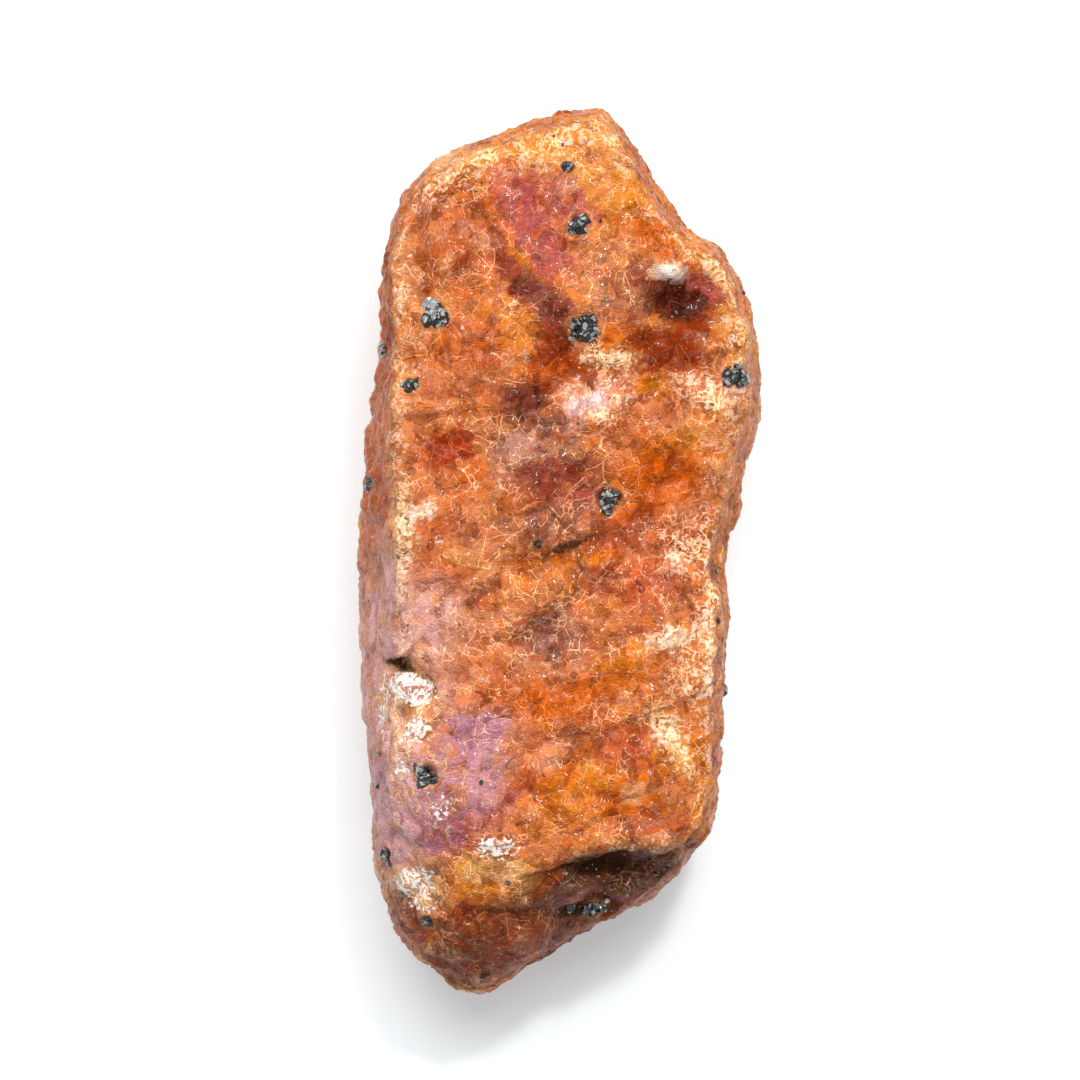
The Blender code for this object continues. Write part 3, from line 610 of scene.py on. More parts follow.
# The skin's material: the shader's own values, the wobble of the net, the scales of the other nets beside the
# cells', the sizes of its clouds and how twisted the feathery one is, its clear coat and its bump.
STONE_FINISH = {
    "Specular IOR Level": 0.03,
    "Specular Tint": (1.0, 0.55, 0.25, 1.0),
    "Coat Roughness": 0.05,
    "Coat IOR": 1.35,
}
WOBBLE, WOBBLE_SIZE = 0.14, 0.34
LONG_NET, COARSE_NET, FINE_NET = 0.42, 0.55, 2.3
SOFT_SIZE, GRIT_SIZE, FEATHER_SIZE, FEATHER_TWIST = 1.6, 0.22, 0.5, 1.6
COAT, COAT_WALL_LOSS = 0.17, 0.10
BUMP_DEPTH = 0.03

# What the tones are multiplied by in the depth of warm and of cool zones and in the painted shade of the
# hollows, by the glass over warm and over fair ones, and in the warmest and the coldest cells.
WARM_DEPTH, COOL_DEPTH = (0.52, 0.37, 0.26), (0.66, 0.50, 0.56)
WARM_GLASS, FAIR_GLASS = (0.96, 0.87, 0.68), (1.01, 0.97, 1.00)
YELLOW_CELL, PINK_CELL = (1.22, 1.02, 0.55), (0.90, 0.72, 0.80)

# How light the paints of veils and painted highlights, cracks, fillings and painted glints, dirt and painted
# shade, and pits are beside the gain.
PAINT_LIGHTS = {"cream": 1.75, "chalk": 1.50, "blush": 1.0, "umber": 1.0, "mahogany": 0.7}

# What starts at the first number and is full at the second: of a colour, of the draws of a cell, of the
# distance to a seam, or of a cloud with a mark in it.
RISES = {
    "cool": (0.0, 0.04),
    "pale": (0.24, 0.60),
    "deep": (1.04, 0.46),
    "yellow cell": (0.55, 1.0),
    "pink cell": (0.45, 0.0),
    "feathers": (0.51, 0.62),
    "frost": (0.56, 0.63),
    "strewn": (0.42, 0.58),
    "chalk": (0.36, 0.66),
    "blushing chalk": (0.56, 0.36),
    "dirt": (0.30, 0.80),
    "pits": (0.33, 0.28),
    # painted glints, baked into the colour as white specks
    "glints": (0.675, 0.72),
    "pillows": (0.0, 0.20),
    # the grains' facets painted with sheen
    "facets": (0.66, 0.90),
    "dust": (0.62, 0.72),
}

# Cracks along the seams of each net: where the cloud that widens them starts and is full, how far it widens
# them, their least width and how soft their rims are, in widths of that net's cells, and their strength.
CRACKS = {
    "middling": ((0.46, 0.66), 0.036, 0.012, 0.022, 0.90),
    "fine": ((0.50, 0.64), 0.052, 0.014, 0.040, 0.60),
    "long": ((0.46, 0.60), 0.016, 0.0, 0.006, 0.90),
}

# The grains' material: the shader's own values, the width of a facet and the size of the dust's clouds.
GRAIN_FINISH = {"IOR": 1.6, "Coat Weight": 0.4, "Coat Roughness": 0.1}
FACET_SIZE, DUST_SIZE = 0.24, 0.12

# The studio: where the lights stand, as compass and height in degrees, then metres, and the floor in
# millimetres. The picture's scale holds at the sharp level.
KEY_TOWARD, KEY_DISTANCE, KEY_SIZE = (92.0, 58.0), 0.60, 0.56
SPARK_TOWARD, SPARK_DISTANCE, SPARK_SIZE = (66.0, 62.0), 0.70, 0.07
FLOOR_HALF, FLOOR_STEPS, FLOOR_LEVEL = 1500.0, 25, -0.05
SENSOR = 36.0
SHARP_LEVEL = 9.0


def linear(display):
    """The light values, from 0 to 1, of a display colour from 0 to 255."""
    level = np.array(display) / 255.0
    return np.where(level <= 0.04045, level / 12.92, ((level + 0.055) / 1.055) ** 2.4)


def colour(name, display, description):
    """A colour property whose default is a display colour from 0 to 255."""
    return bpy.props.FloatVectorProperty(
        name=name,
        description=description,
        subtype="COLOR",
        size=3,
        min=0.0,
        max=1.0,
        default=tuple(linear(display)),
    )


def length(name, millimetres, description):
    """A length property whose default is given in millimetres."""
    return bpy.props.FloatProperty(
        name=name, description=description, unit="LENGTH", min=0.0, default=millimetres * MM
    )


def share(name, default, description):
    """A property from 0 to 1."""
    return bpy.props.FloatProperty(
        name=name, description=description, subtype="FACTOR", min=0.0, max=1.0, default=default
    )


class RubyColours(bpy.types.PropertyGroup):
    """The colours of the stone's zones, as they look in the studio's light."""

    amber: colour("Amber", (230, 138, 84), "Light orange body of the stone")
    honey: colour("Honey", (246, 166, 76), "Yellow crust along the blunt end")
    golden: colour("Golden", (236, 138, 24), "Bright yellow-orange zones")
    orange: colour("Orange", (222, 104, 2), "Saturated clear zones")
    ember: colour("Ember", (142, 46, 0), "Dark orange-red depth")
    rust: colour("Rust", (204, 102, 50), "Red-brown body of the stone")
    red_orange: colour("Red orange", (188, 62, 8), "Clear red windows")
    coral: colour("Coral", (208, 100, 64), "Warm pinkish red zones")
    salmon: colour("Salmon", (226, 134, 96), "Pale pinkish orange zones")
    terracotta: colour("Terracotta", (198, 96, 30), "Upper part of the left wall")
    tan: colour("Tan", (220, 144, 98), "Dull worn skin")
    taupe: colour("Taupe", (164, 108, 102), "Greyish zones")
    rose: colour("Rose", (196, 97, 100), "Pink lamellae near the blunt end")
    dusty_rose: colour("Dusty rose", (156, 66, 52), "Brownish pink zones")
    maroon: colour("Maroon", (112, 36, 30), "Dark wine-red spots")
    # Mahogany is the hollows' colour with painted shade in it, under the ledge too, and the small dark pits.
    mahogany: colour("Mahogany", (88, 20, 4), "Deep hollows")
    plum: colour("Plum", (136, 62, 64), "Purple-brown patches")
    mauve: colour("Mauve", (216, 154, 158), "Lilac-pink field")
    lilac: colour("Lilac", (194, 132, 148), "Purple heart of the mauve field")
    heather: colour("Heather", (180, 110, 126), "Dark part of the mauve field")
    pale_mauve: colour("Pale mauve", (238, 186, 186), "Lower part of the left wall")
    blush: colour("Blush", (230, 156, 134), "Pale pink zones")
    # Cream is also the painted highlight on ridges and along the top left rim.
    cream: colour("Cream", (255, 208, 158), "Veils and crusts")
    # Chalk is also the painted glints and the painted highlight on the glossy knob.
    chalk: colour("Chalk", (253, 246, 236), "White filling of the pits")
    umber_pink: colour("Umber pink", (116, 58, 38), "Brown-pink end face")
    # Umber is dirt, and painted shade in creases, hollows, under the ledge and at the grains' feet.
    umber: colour("Umber", (66, 40, 24), "Dirt in the creases")


class RubySkin(bpy.types.PropertyGroup):
    """Sizes and finish of the stone's skin."""

    cell_size: length("Cell size", 0.54, "Width of the hammered cells of the skin")
    cell_height: length("Cell height", 0.08, "How far the cells stand out from the seams between them")
    gain: share("Gain", 0.62, "How bright the paints are beside how they look in the studio's light")
    roughness: share("Roughness", 0.20, "Roughness of the worn glassy skin")


class RubyGrains(bpy.types.PropertyGroup):
    """Sizes and colours of the black grains."""

    stands_out: length("Stands out", 0.16, "How far a grain stands out of the skin")
    dark: colour("Dark", (17, 21, 19), "Greenish black faces of the grains")
    # Pale is the painted sheen of a few facets, and the grey dust.
    pale: colour("Pale", (186, 192, 186), "Faces of the grains that shine")


class RubyStudio(bpy.types.PropertyGroup):
    """The camera, the lights and the floor."""

    lens: bpy.props.FloatProperty(
        name="Lens", description="Focal length in millimetres", default=400.0, min=50.0
    )
    key_power: bpy.props.FloatProperty(
        name="Key power", description="Power of the soft key light", unit="POWER", default=3.9, min=0.0
    )
    spark_power: bpy.props.FloatProperty(
        name="Spark power", description="Power of the small light that makes glints", unit="POWER",
        default=1.6, min=0.0
    )
    fill: bpy.props.FloatProperty(
        name="Fill", description="Brightness of the white surroundings", default=0.46, min=0.0
    )
    floor: colour("Floor", (228, 234, 237), "Plain pale floor")
    floor_glow: bpy.props.FloatProperty(
        name="Floor glow", description="Light that comes up through the floor", default=0.22, min=0.0
    )


def smooth_step(low, high, value):
    """Rises from 0 at low to 1 at high, level at both ends."""
    t = np.clip((value - low) / (high - low), 0.0, 1.0)
    return t * t * (3.0 - 2.0 * t)


def bell(value, width):
    """1 where the value is zero, falling smoothly to 0 past a width on both sides."""
    return np.exp(-((value / width) ** 2))


def from_picture(pixel):
    """The place in plan, in millimetres, that a pixel of the picture shows."""
    return (np.array(pixel) - PICTURE_MIDDLE) * PICTURE_SCALE * (1.0, -1.0)


def noise(points, size, seed):
    """Smooth random hills between -1 and 1, size apart: random numbers on a lattice, blended between."""
    lattice = np.random.default_rng(seed).uniform(-1.0, 1.0, (LATTICE,) * 3)
    scaled = points / size + LATTICE_MIDDLE
    low = np.floor(scaled).astype(int)
    part = scaled - low
    part = part * part * (3.0 - 2.0 * part)
    total = np.zeros(len(points))
    for corner in np.ndindex(2, 2, 2):
        at = (low + corner) % LATTICE
        weight = np.prod(np.where(corner, part, 1.0 - part), axis=1)
        total += weight * lattice[at[:, 0], at[:, 1], at[:, 2]]
    return total


def noise_vectors(points, size, seed):
    """Three independent noises as one vector for each point."""
    return np.stack([noise(points, size, seed + axis) for axis in range(3)], axis=1)


def dimple_distances(points, size, seed):
    """Distance to the nearest and second nearest of random points, one in each lattice cube."""
    lattice = np.random.default_rng(seed).uniform(0.0, 1.0, (LATTICE,) * 3 + (3,))
    scaled = points / size + LATTICE_MIDDLE
    low = np.floor(scaled).astype(int)
    found = []
    for step in np.ndindex(3, 3, 3):
        cube = low + step - 1
        at = cube % LATTICE
        found.append(np.linalg.norm(cube + lattice[at[:, 0], at[:, 1], at[:, 2]] - scaled, axis=1))
    found = np.partition(np.array(found), 1, axis=0)
    return found[0], found[1]


def rotated(bits, count):
    """The bits of 32-bit numbers, moved up by count places and round."""
    return (bits << np.uint32(count)) | (bits >> np.uint32(32 - count))


def first_stir(a, b, c):
    """Three 32-bit numbers mixed in six rounds: each loses one neighbour and takes in its moved bits, and
    the neighbour gains the other."""
    for count in (4, 6, 8, 16, 19, 4):
        a = (a - c) ^ rotated(c, count)
        c = c + b
        a, b, c = b, c, a
    return a, b, c


def last_stir(a, b, c):
    """One well mixed 32-bit number from three, in seven rounds of crossing and taking away moved bits."""
    for count in (14, 11, 25, 16, 4, 14, 24):
        c = (c ^ b) - rotated(b, count)
        a, b, c = b, c, a
    return b


def cell_draws(cells):
    """Three random numbers from 0 to 1 for each cell of a unit lattice: the very ones that the material's
    texture of cells draws there, so that the seams of both fall on the same lines. The bits of the cell's
    three places are added to a start and stirred, for the first draw alone and for the other two together
    with 1 and with 2; the start holds how many numbers are stirred."""
    x, y, z = np.moveaxis(np.ascontiguousarray(cells, np.float32).view(np.uint32), -1, 0)
    of_three, of_four = (np.uint32((DRAW_START + 4 * count + 13) & FULL_BITS) for count in (3, 4))
    draws = [last_stir(of_three + x, of_three + y, of_three + z)]
    for more in (1.0, 2.0):
        a, b, c = first_stir(of_four + x, of_four + y, of_four + z)
        draws.append(last_stir(a + np.float32(more).view(np.uint32), b, c))
    return np.stack(draws, axis=-1) / float(FULL_BITS)


def cells_around(net):
    """For each point of the net: the middle of its cell, the cell's draws, and how far the nearest seam
    between two cells is: the least distance to a plane halfway between the cell's middle and another's."""
    low = np.floor(net)
    middles = [low + step - 1.0 for step in np.ndindex(3, 3, 3)]
    draws = [cell_draws(cell) for cell in middles]
    middles = [cell + draw for cell, draw in zip(middles, draws)]
    nearest = np.argmin([np.linalg.norm(middle - net, axis=1) for middle in middles], axis=0)
    every = np.arange(len(net))
    own, own_draws = np.stack(middles)[nearest, every], np.stack(draws)[nearest, every]
    seam = np.full(len(net), np.inf)
    for middle in middles:
        toward = middle - own
        reach = np.maximum(np.linalg.norm(toward, axis=1), ONE_CELL)
        halfway = np.sum(((middle + own) / 2 - net) * toward, axis=1) / reach
        seam = np.where(reach > ONE_CELL, np.minimum(seam, halfway), seam)
    return own, own_draws, seam


def closed_curve(corners, steps=12):
    """A smooth closed curve through the corners, with steps points to each span. Each span is a cubic, and
    at a corner the curve runs the way from the corner before to the one after."""
    before, here = np.roll(corners, 1, axis=0), np.asarray(corners, float)
    after, beyond = np.roll(here, -1, axis=0), np.roll(here, -2, axis=0)
    t = np.linspace(0.0, 1.0, steps, endpoint=False)[None, :, None]
    a, b, c, d = (points[:, None, :] for points in (before, here, after, beyond))
    curve = 2 * b + (c - a) * t + (2 * a - 5 * b + 4 * c - d) * t**2 + (3 * b - a - 3 * c + d) * t**3
    return (0.5 * curve).reshape(-1, 2)


def half_width(angle):
    """How far the outline is from the middle, in the direction of each angle."""
    curve = closed_curve(OUTLINE)
    angles = np.arctan2(curve[:, 1], curve[:, 0])
    order = np.argsort(angles)
    return np.interp(angle, angles[order], np.hypot(*curve[order].T), period=2 * math.pi)


def lean_at(angle, leans):
    """The lean of the wall in the direction of each angle, between its named compass values."""
    compass = np.arange(len(leans)) * 2 * math.pi / len(leans)
    return np.interp(angle, compass, leans, period=2 * math.pi)


def facing(toward, lean):
    """The unit normal of a face, from the way it faces in plan and its lean from level, in degrees."""
    toward, lean = math.radians(toward), math.radians(lean)
    return np.array([math.sin(lean) * math.cos(toward), math.sin(lean) * math.sin(toward), math.cos(lean)])


def stone_radius(ways):
    """How far the skin is from the heart in each direction: the nearest of the outline's upright wall, its
    two leaning walls and the flat faces, softened where they meet by a high power mean."""
    angle = np.arctan2(ways[:, 1], ways[:, 0])
    ring = half_width(angle)
    wall = np.hypot(ways[:, 0], ways[:, 1]) / ring
    up, down = lean_at(angle, LEAN_UP) / ring, lean_at(angle, LEAN_DOWN) / ring
    nearness = [
        wall,
        (wall + up * ways[:, 2]) / (1.0 + up * UPRIGHT_ABOVE),
        (wall - down * ways[:, 2]) / (1.0 + down * UPRIGHT_BELOW),
    ]
    for toward, lean, point in FACES.values():
        out = facing(toward, lean)
        reach = out @ (np.array(point) - HEART)
        nearness.append(ways @ out / reach)
    nearness = np.maximum(np.array(nearness), LEAST_NEARNESS)
    return np.sum(nearness**EDGE_SHARPNESS, axis=0) ** (-1.0 / EDGE_SHARPNESS)


def line_distance(places, line):
    """Distance of each place to a line of points, and 1 on its left-hand side or -1 on its right."""
    best = np.full(len(places), np.inf)
    side = np.zeros(len(places))
    for start, end in zip(np.array(line[:-1]), np.array(line[1:])):
        run = end - start
        t = np.clip((places - start) @ run / (run @ run), 0.0, 1.0)
        away = places - start - t[:, None] * run
        distance = np.hypot(*away.T)
        closer = distance < best
        side[closer] = np.sign(run[0] * away[closer, 1] - run[1] * away[closer, 0])
        best[closer] = distance[closer]
    return best, side


def from_middle(places, middle, half_sizes, turn):
    """How far along and how far across a turned patch each place is from its middle, in half sizes."""
    turn = math.radians(turn)
    dx, dy = places[:, 0] - middle[0], places[:, 1] - middle[1]
    along = (dx * math.cos(turn) + dy * math.sin(turn)) / half_sizes[0]
    across = (dy * math.cos(turn) - dx * math.sin(turn)) / half_sizes[1]
    return along, across


def patch(places, middle, half_sizes, turn, firmness=LUMP_FIRMNESS):
    """1 in the middle of a turned oval patch, fading to 0 past its half sizes, faster where firmer."""
    along, across = from_middle(places, middle, half_sizes, turn)
    return np.exp(-((along * along + across * across) ** firmness))


def panel(places, middle, half_sizes, turn, firmness):
    """1 in the middle of a turned rectangle with rounded corners, fading to 0 past its half sizes."""
    along, across = from_middle(places, middle, half_sizes, turn)
    return np.exp(-((along * along) ** firmness) - (across * across) ** firmness)


def lumps(places, named):
    """The heights of soft round-topped lumps and hollows."""
    return sum(height * patch(places, *where) for *where, height in named.values())


def chipped(points):
    """The points that stand past a chip's face are moved back on it, within the chip's patch."""
    for toward, lean, on_face, *where in CHIPS.values():
        out = facing(toward, lean)
        past = np.maximum((points - on_face) @ out, 0.0) * patch(points, *where, CHIP_FIRMNESS)
        above = smooth_step(0.0, CHIP_FADE, points[:, 2:] - HEART[2])
        points = points - past[:, None] * out * above
    return points


def relief(points, normals):
    """How far each point of the skin moves out along its normal for the forms that its solid has."""
    places = points[:, :2]
    upward = smooth_step(*LEVEL_FADE, normals[:, 2])
    downward = smooth_step(*LEVEL_FADE, -normals[:, 2])
    out = lumps(places, LUMPS) * upward + lumps(places, BACK_LUMPS) * downward
    for middle, reach, height in SIDE_LUMPS.values():
        out += height * np.exp(-((np.linalg.norm(points - middle, axis=1) / reach) ** 3))
    for line, reach, depth in CREASES.values():
        distance, _ = line_distance(places, line)
        out -= depth * bell(distance, reach) * upward
    for line, step, reach in LEDGES.values():
        distance, side = line_distance(places, line)
        fall = np.where(side > 0, 0.0, 1.0) * bell(distance, reach)
        out -= step * fall * smooth_step(0.0, LEDGE_SOFTNESS, distance) * upward
    quiet = QUIET_WALLS + (1.0 - QUIET_WALLS) * np.abs(normals[:, 2])
    for size, height, seed in SWELLS.values():
        out += height * quiet * noise(points, size, seed)
    nearest, second = dimple_distances(points, DIMPLE_SIZE, DIMPLE_SEED)
    out += DIMPLE_DEPTH * (2.0 * np.minimum(second - nearest, DIMPLE_RIM) / DIMPLE_RIM - 1.0)
    return out * smooth_step(0.0, FADE_OVER_REST, points[:, 2])


def even_steps(curve, weights, count, closed):
    """Positions from 0 to 1 along a curve given as points, evenly spaced by weighted length."""
    length_to = np.concatenate([[0.0], np.cumsum(np.linalg.norm(np.diff(curve, axis=0), axis=1) * weights)])
    wanted = np.arange(count) / count if closed else np.arange(1, count + 1) / (count + 1)
    return np.interp(wanted * length_to[-1], length_to, np.linspace(0.0, 1.0, len(length_to)))


def rounded(angle):
    """The point at an angle of a unit curve between a circle and a square: |x|^n + |y|^n = 1."""
    along, across = np.cos(angle), np.sin(angle)
    bend = 2.0 / GRID_ROUNDNESS
    return np.sign(along) * np.abs(along) ** bend, np.sign(across) * np.abs(across) ** bend


def skin_ways():
    """The directions in which the skin's grid looks from the heart: rings round the long axis from the
    blunt end to the tip, with a pole at each end, on a rounded box of the stone's half sizes. Rings and
    the points of a ring are evenly spaced by length, and sparser over the back."""
    half = (BOX_HIGH - BOX_LOW) / 2
    fine = np.linspace(0.0, 1.0, GRID_STEPS)
    along, across = rounded(fine * math.pi)
    profile = np.stack([along * half[1], across * (half[0] + half[2]) / 2], axis=1)
    ring_at = even_steps(profile, np.ones(len(profile) - 1), RINGS, False)
    low, side = rounded(fine * 2 * math.pi)
    around = np.stack([side * half[0], -low * half[2]], axis=1)
    behind = (low[1:] + low[:-1]) > 0
    point_at = even_steps(around, np.where(behind, BACK_DENSITY, 1.0), RING_POINTS, True)
    along, across = rounded(ring_at[:, None] * math.pi)
    low, side = rounded(point_at[None, :] * 2 * math.pi)
    x, y = across * side * half[0], along * half[1] + 0.0 * side
    rings = np.stack([x, y, -across * low * half[2]], axis=2).reshape(-1, 3)
    ways = np.concatenate([[(0.0, 1.0, 0.0)], rings, [(0.0, -1.0, 0.0)]])
    return ways / np.linalg.norm(ways, axis=1)[:, None]


def ring_faces(rings, round_points):
    """Faces of a closed skin of rings with a pole at each end: point 0, the rings, the last point."""
    first = 1 + np.arange(rings)[:, None] * round_points + np.arange(round_points)
    beside = np.roll(first, -1, axis=1)
    quads = np.stack([first[:-1], beside[:-1], beside[1:], first[1:]], axis=2).reshape(-1, 4)
    last = np.full(round_points, rings * round_points + 1)
    near_cap = np.stack([np.zeros_like(last), beside[0], first[0]], axis=1)
    far_cap = np.stack([first[-1], beside[-1], last], axis=1)
    return quads.tolist() + near_cap.tolist() + far_cap.tolist()


def new_piece(name, points, faces, material, smooth):
    """A mesh piece at the origin from points in millimetres, with its finish."""
    mesh = bpy.data.meshes.new(name)
    mesh.from_pydata((points * MM).tolist(), [], faces)
    mesh.polygons.foreach_set("use_smooth", np.full(len(mesh.polygons), smooth))
    mesh.materials.append(material)
    piece = bpy.data.objects.new(name, mesh)
    bpy.context.scene.collection.objects.link(piece)
    return piece


def mesh_arrays(mesh):
    """The mesh's points in millimetres and its normals."""
    points = np.empty(len(mesh.vertices) * 3)
    mesh.vertices.foreach_get("co", points)
    normals = np.empty(len(mesh.vertices) * 3)
    mesh.vertex_normals.foreach_get("vector", normals)
    return points.reshape(-1, 3) / MM, normals.reshape(-1, 3)


def set_points(mesh, points):
    """Puts points in millimetres back into the mesh."""
    mesh.vertices.foreach_set("co", (points * MM).ravel())
    mesh.update()


def fit_plan(points):
    """Stretches the points a little so that their box in plan is the solid's."""
    low, high = points.min(axis=0), points.max(axis=0)
    for axis in (0, 1):
        portion = (points[:, axis] - low[axis]) / (high[axis] - low[axis])
        points[:, axis] = BOX_LOW[axis] + portion * (BOX_HIGH[axis] - BOX_LOW[axis])
    return points


def fit_box(points):
    """Fits the points in the solid's box, and presses what would lie below the rest plane flat on it."""
    points = fit_plan(points)
    points[:, 2] *= min(1.0, BOX_HIGH[2] / points[:, 2].max())
    points[:, 2] = np.maximum(points[:, 2], 0.0)
    return points


def set_attribute(mesh, name, kind, values):
    """Stores a value for every point of the mesh, for its material to read."""
    attribute = mesh.attributes.new(name, kind, "POINT")
    field = {"FLOAT": "value", "FLOAT_VECTOR": "vector", "FLOAT_COLOR": "color"}[kind]
    attribute.data.foreach_set(field, np.ascontiguousarray(values, np.float32).ravel())


def on_picture(marks):
    """Named patches of the picture, with their middles and half sizes turned into millimetres. The paint
    that some of them start with is kept."""
    turned = {}
    for name, (*paint, middle, half_sizes, turn, strength, firmness) in marks.items():
        half_sizes = np.array(half_sizes) * PICTURE_SCALE
        turned[name] = (*paint, from_picture(middle), half_sizes, turn, strength, firmness)
    return turned


def cover_of(places, marks):
    """How fully each place is covered by the marks: what each leaves bare, multiplied together."""
    bare = np.ones(len(places))
    for middle, half_sizes, turn, strength, firmness in on_picture(marks).values():
        bare *= 1.0 - strength * patch(places, middle, half_sizes, turn, firmness)
    return 1.0 - bare


def blended(tone, colours, paint, cover):
    """The tones turned towards a paint, and their fourth number towards the paint's clearness, by a cover
    from 0 to 1."""
    goal = np.array((*getattr(colours, paint.replace(" ", "_")), CLEARNESS.get(paint, 0.0)))
    return tone + (goal - tone) * cover[:, None]


def painted(tone, places, zones, colours, there):
    """The tones with the zones painted over them one after another, each in its patch, as far as each
    point is there."""
    for paint, middle, half_sizes, turn, strength, firmness in zones.values():
        cover = strength * panel(places, middle, half_sizes, turn, firmness + CRISPNESS) * there
        tone = blended(tone, colours, paint, cover)
    return tone


def bulges(points, normals):
    """How far each point of the skin's grid stands out past its surroundings: its height over the grid
    averaged again and again with its four neighbours, so ridges are above zero and hollows below."""
    grid = points[1:-1].reshape(RINGS, RING_POINTS, 3)
    soft = grid.copy()
    for _ in range(BULGE_PASSES):
        before, after = np.roll(soft, 1, axis=1), np.roll(soft, -1, axis=1)
        above = np.concatenate([soft[:1], soft[:-1]])
        below = np.concatenate([soft[1:], soft[-1:]])
        soft = (before + after + above + below) / 4.0
    away = np.sum((grid - soft).reshape(-1, 3) * normals[1:-1], axis=1)
    return np.concatenate([[0.0], away, [0.0]])


def large_grains():
    """Place in plan, size across and turn of each large grain."""
    return [(np.array(place), np.array(size), turn) for place, size, turn in GRAINS.values()]


def specks():
    """The specks in the form of the large grains: as long as wide, and unturned."""
    return [(from_picture(pixel), np.array((width, width)), 0) for pixel, width in SPECKS]


def seat_of(points, normals, place):
    """The point of the upper skin that a place in plan lies over, and the skin's normal there."""
    away = np.hypot(points[:, 0] - place[0], points[:, 1] - place[1])
    away = np.where(normals[:, 2] > 0.0, away, np.inf)
    nearest = int(np.argmin(away))
    near = np.linalg.norm(points - points[nearest], axis=1) < SEAT_REACH
    normal = normals[near].mean(axis=0)
    return points[nearest], normal / np.linalg.norm(normal)


def grain_distances(points, normals):
    """How far each point is from the nearest large grain, in half widths of that grain, and wobbled by
    noise close to it."""
    nearest = np.full(len(points), np.inf)
    for place, size, _ in large_grains():
        seat, _ = seat_of(points, normals, place)
        nearest = np.minimum(nearest, np.linalg.norm(points - seat, axis=1) / (np.mean(size) / 2))
    wobble = PIT_WOBBLE * noise(points, PIT_WOBBLE_SIZE, PIT_SEED)
    return nearest + wobble * (nearest < PIT_WOBBLE_REACH)


def survey(points, normals, cell_size):
    """What the colours, the marks and the fine forms need to know of each point. The net is the point in
    cell widths, warped by noise; own is the middle of its cell. The zones' places are moved towards that
    middle, so that their rims follow the cells, and warped, most on the walls."""
    at = SimpleNamespace(points=points, places=points[:, :2])
    at.net = points / (cell_size / MM) + NET_WARP * noise_vectors(points, NET_WARP_SIZE, NET_SEED)
    own, at.draws, at.seam = cells_around(at.net + NET_SHIFT)
    at.own = own - NET_SHIFT
    at.upward = smooth_step(*LEVEL_FADE, normals[:, 2])
    at.steep = 1.0 - smooth_step(*STEEP, np.abs(normals[:, 2]))
    at.shown = smooth_step(*ZONE_HEIGHTS, points[:, 2])
    at.calm = cover_of(at.places, CALM)
    at.bulge = bulges(points, normals)
    at.grain_distance = grain_distances(points, normals)
    at.warp = ZONE_WARP * noise_vectors(points, ZONE_WARP_SIZE, ZONE_SEED)[:, :2]
    wall_warp = WALL_WARP * at.steep[:, None] * noise_vectors(points, WALL_WARP_SIZE, WALL_SEED)[:, :2]
    in_cell = at.places + CELL_SNAP * (at.own - at.net)[:, :2] * cell_size / MM
    at.zone_places = in_cell + at.warp + wall_warp
    return at


def skin_tones(at, colours):
    """The colour of every point: a body clouded with other paints, the zones of the back and of the broad
    face, clouds of paint on the walls, cells that take another paint at random, a pale rim and painted shade
    at the foot of each grain, and ridges painted pale, partly crust and partly painted highlight."""
    tone = np.tile(np.array((*getattr(colours, BODY_PAINT), 0.0)), (len(at.points), 1))
    for paint, (size, seed, strength, rise) in BODY_CLOUDS.items():
        tone = blended(tone, colours, paint, strength * smooth_step(*rise, noise(at.points, size, seed)))
    tone = painted(tone, at.zone_places, BACK_ZONES, colours, 1.0 - at.shown)
    tone = painted(tone, at.zone_places, on_picture(ZONES), colours, at.shown)
    for paint, (size, seed, strength, end) in WALL_CLOUDS.items():
        there = smooth_step(-WALL_BLEND, WALL_BLEND, end * (at.zone_places[:, 1] - WALL_TURN))
        cloud = smooth_step(*WALL_CLOUD_RISE, noise(at.points, size, seed))
        tone = blended(tone, colours, paint, strength * at.steep * there * cloud)
    for paint, (low, high, strength) in CELL_PAINTS.items():
        picked = (at.draws[:, 2] >= low) & (at.draws[:, 2] < high)
        tone = blended(tone, colours, paint, strength * picked * (1.0 - at.calm) * (1.0 - tone[:, 3]))
    rim = bell(at.grain_distance - PALE_RIM_AT, PALE_RIM_WIDTH)
    tone = blended(tone, colours, "cream", PALE_RIM * rim)
    # painted shade at each grain's foot, where it sits in its pit
    tone = blended(tone, colours, "umber", SHADED_FOOT * (1.0 - smooth_step(*SHADED_FOOT_END, at.grain_distance)))
    # ridges painted pale: partly crust, partly painted highlight
    return blended(tone, colours, "cream", RIDGE_CRUST_AND_HIGHLIGHT * smooth_step(*RIDGE_RISE, at.bulge))


def skin_marks(at):
    """The marks that the material reads, from 0 to 1: what the marked patches of the picture cover, veils
    on the ridges too, painted shade in the hollows by their depth, and the walls."""
    veil = cover_of(at.places + at.warp, VEILS) * at.shown * (1.0 - VEIL_LOSS * at.steep)
    return {
        "chalk": cover_of(at.places, CHALK) * at.shown,
        # dirt together with painted shade in creases, hollows and under the ledge
        "dirt": cover_of(at.places, DIRT_AND_SHADE) * at.shown,
        "veil": 1.0 - (1.0 - veil) * (1.0 - RIDGE_VEIL * smooth_step(*RIDGE_RISE, at.bulge)),
        "calm": at.calm,
        # painted shade: darker the deeper the hollow
        "depth": smooth_step(*HOLLOW_RISE, -at.bulge) * at.shown,
        "wall": at.steep,
    }


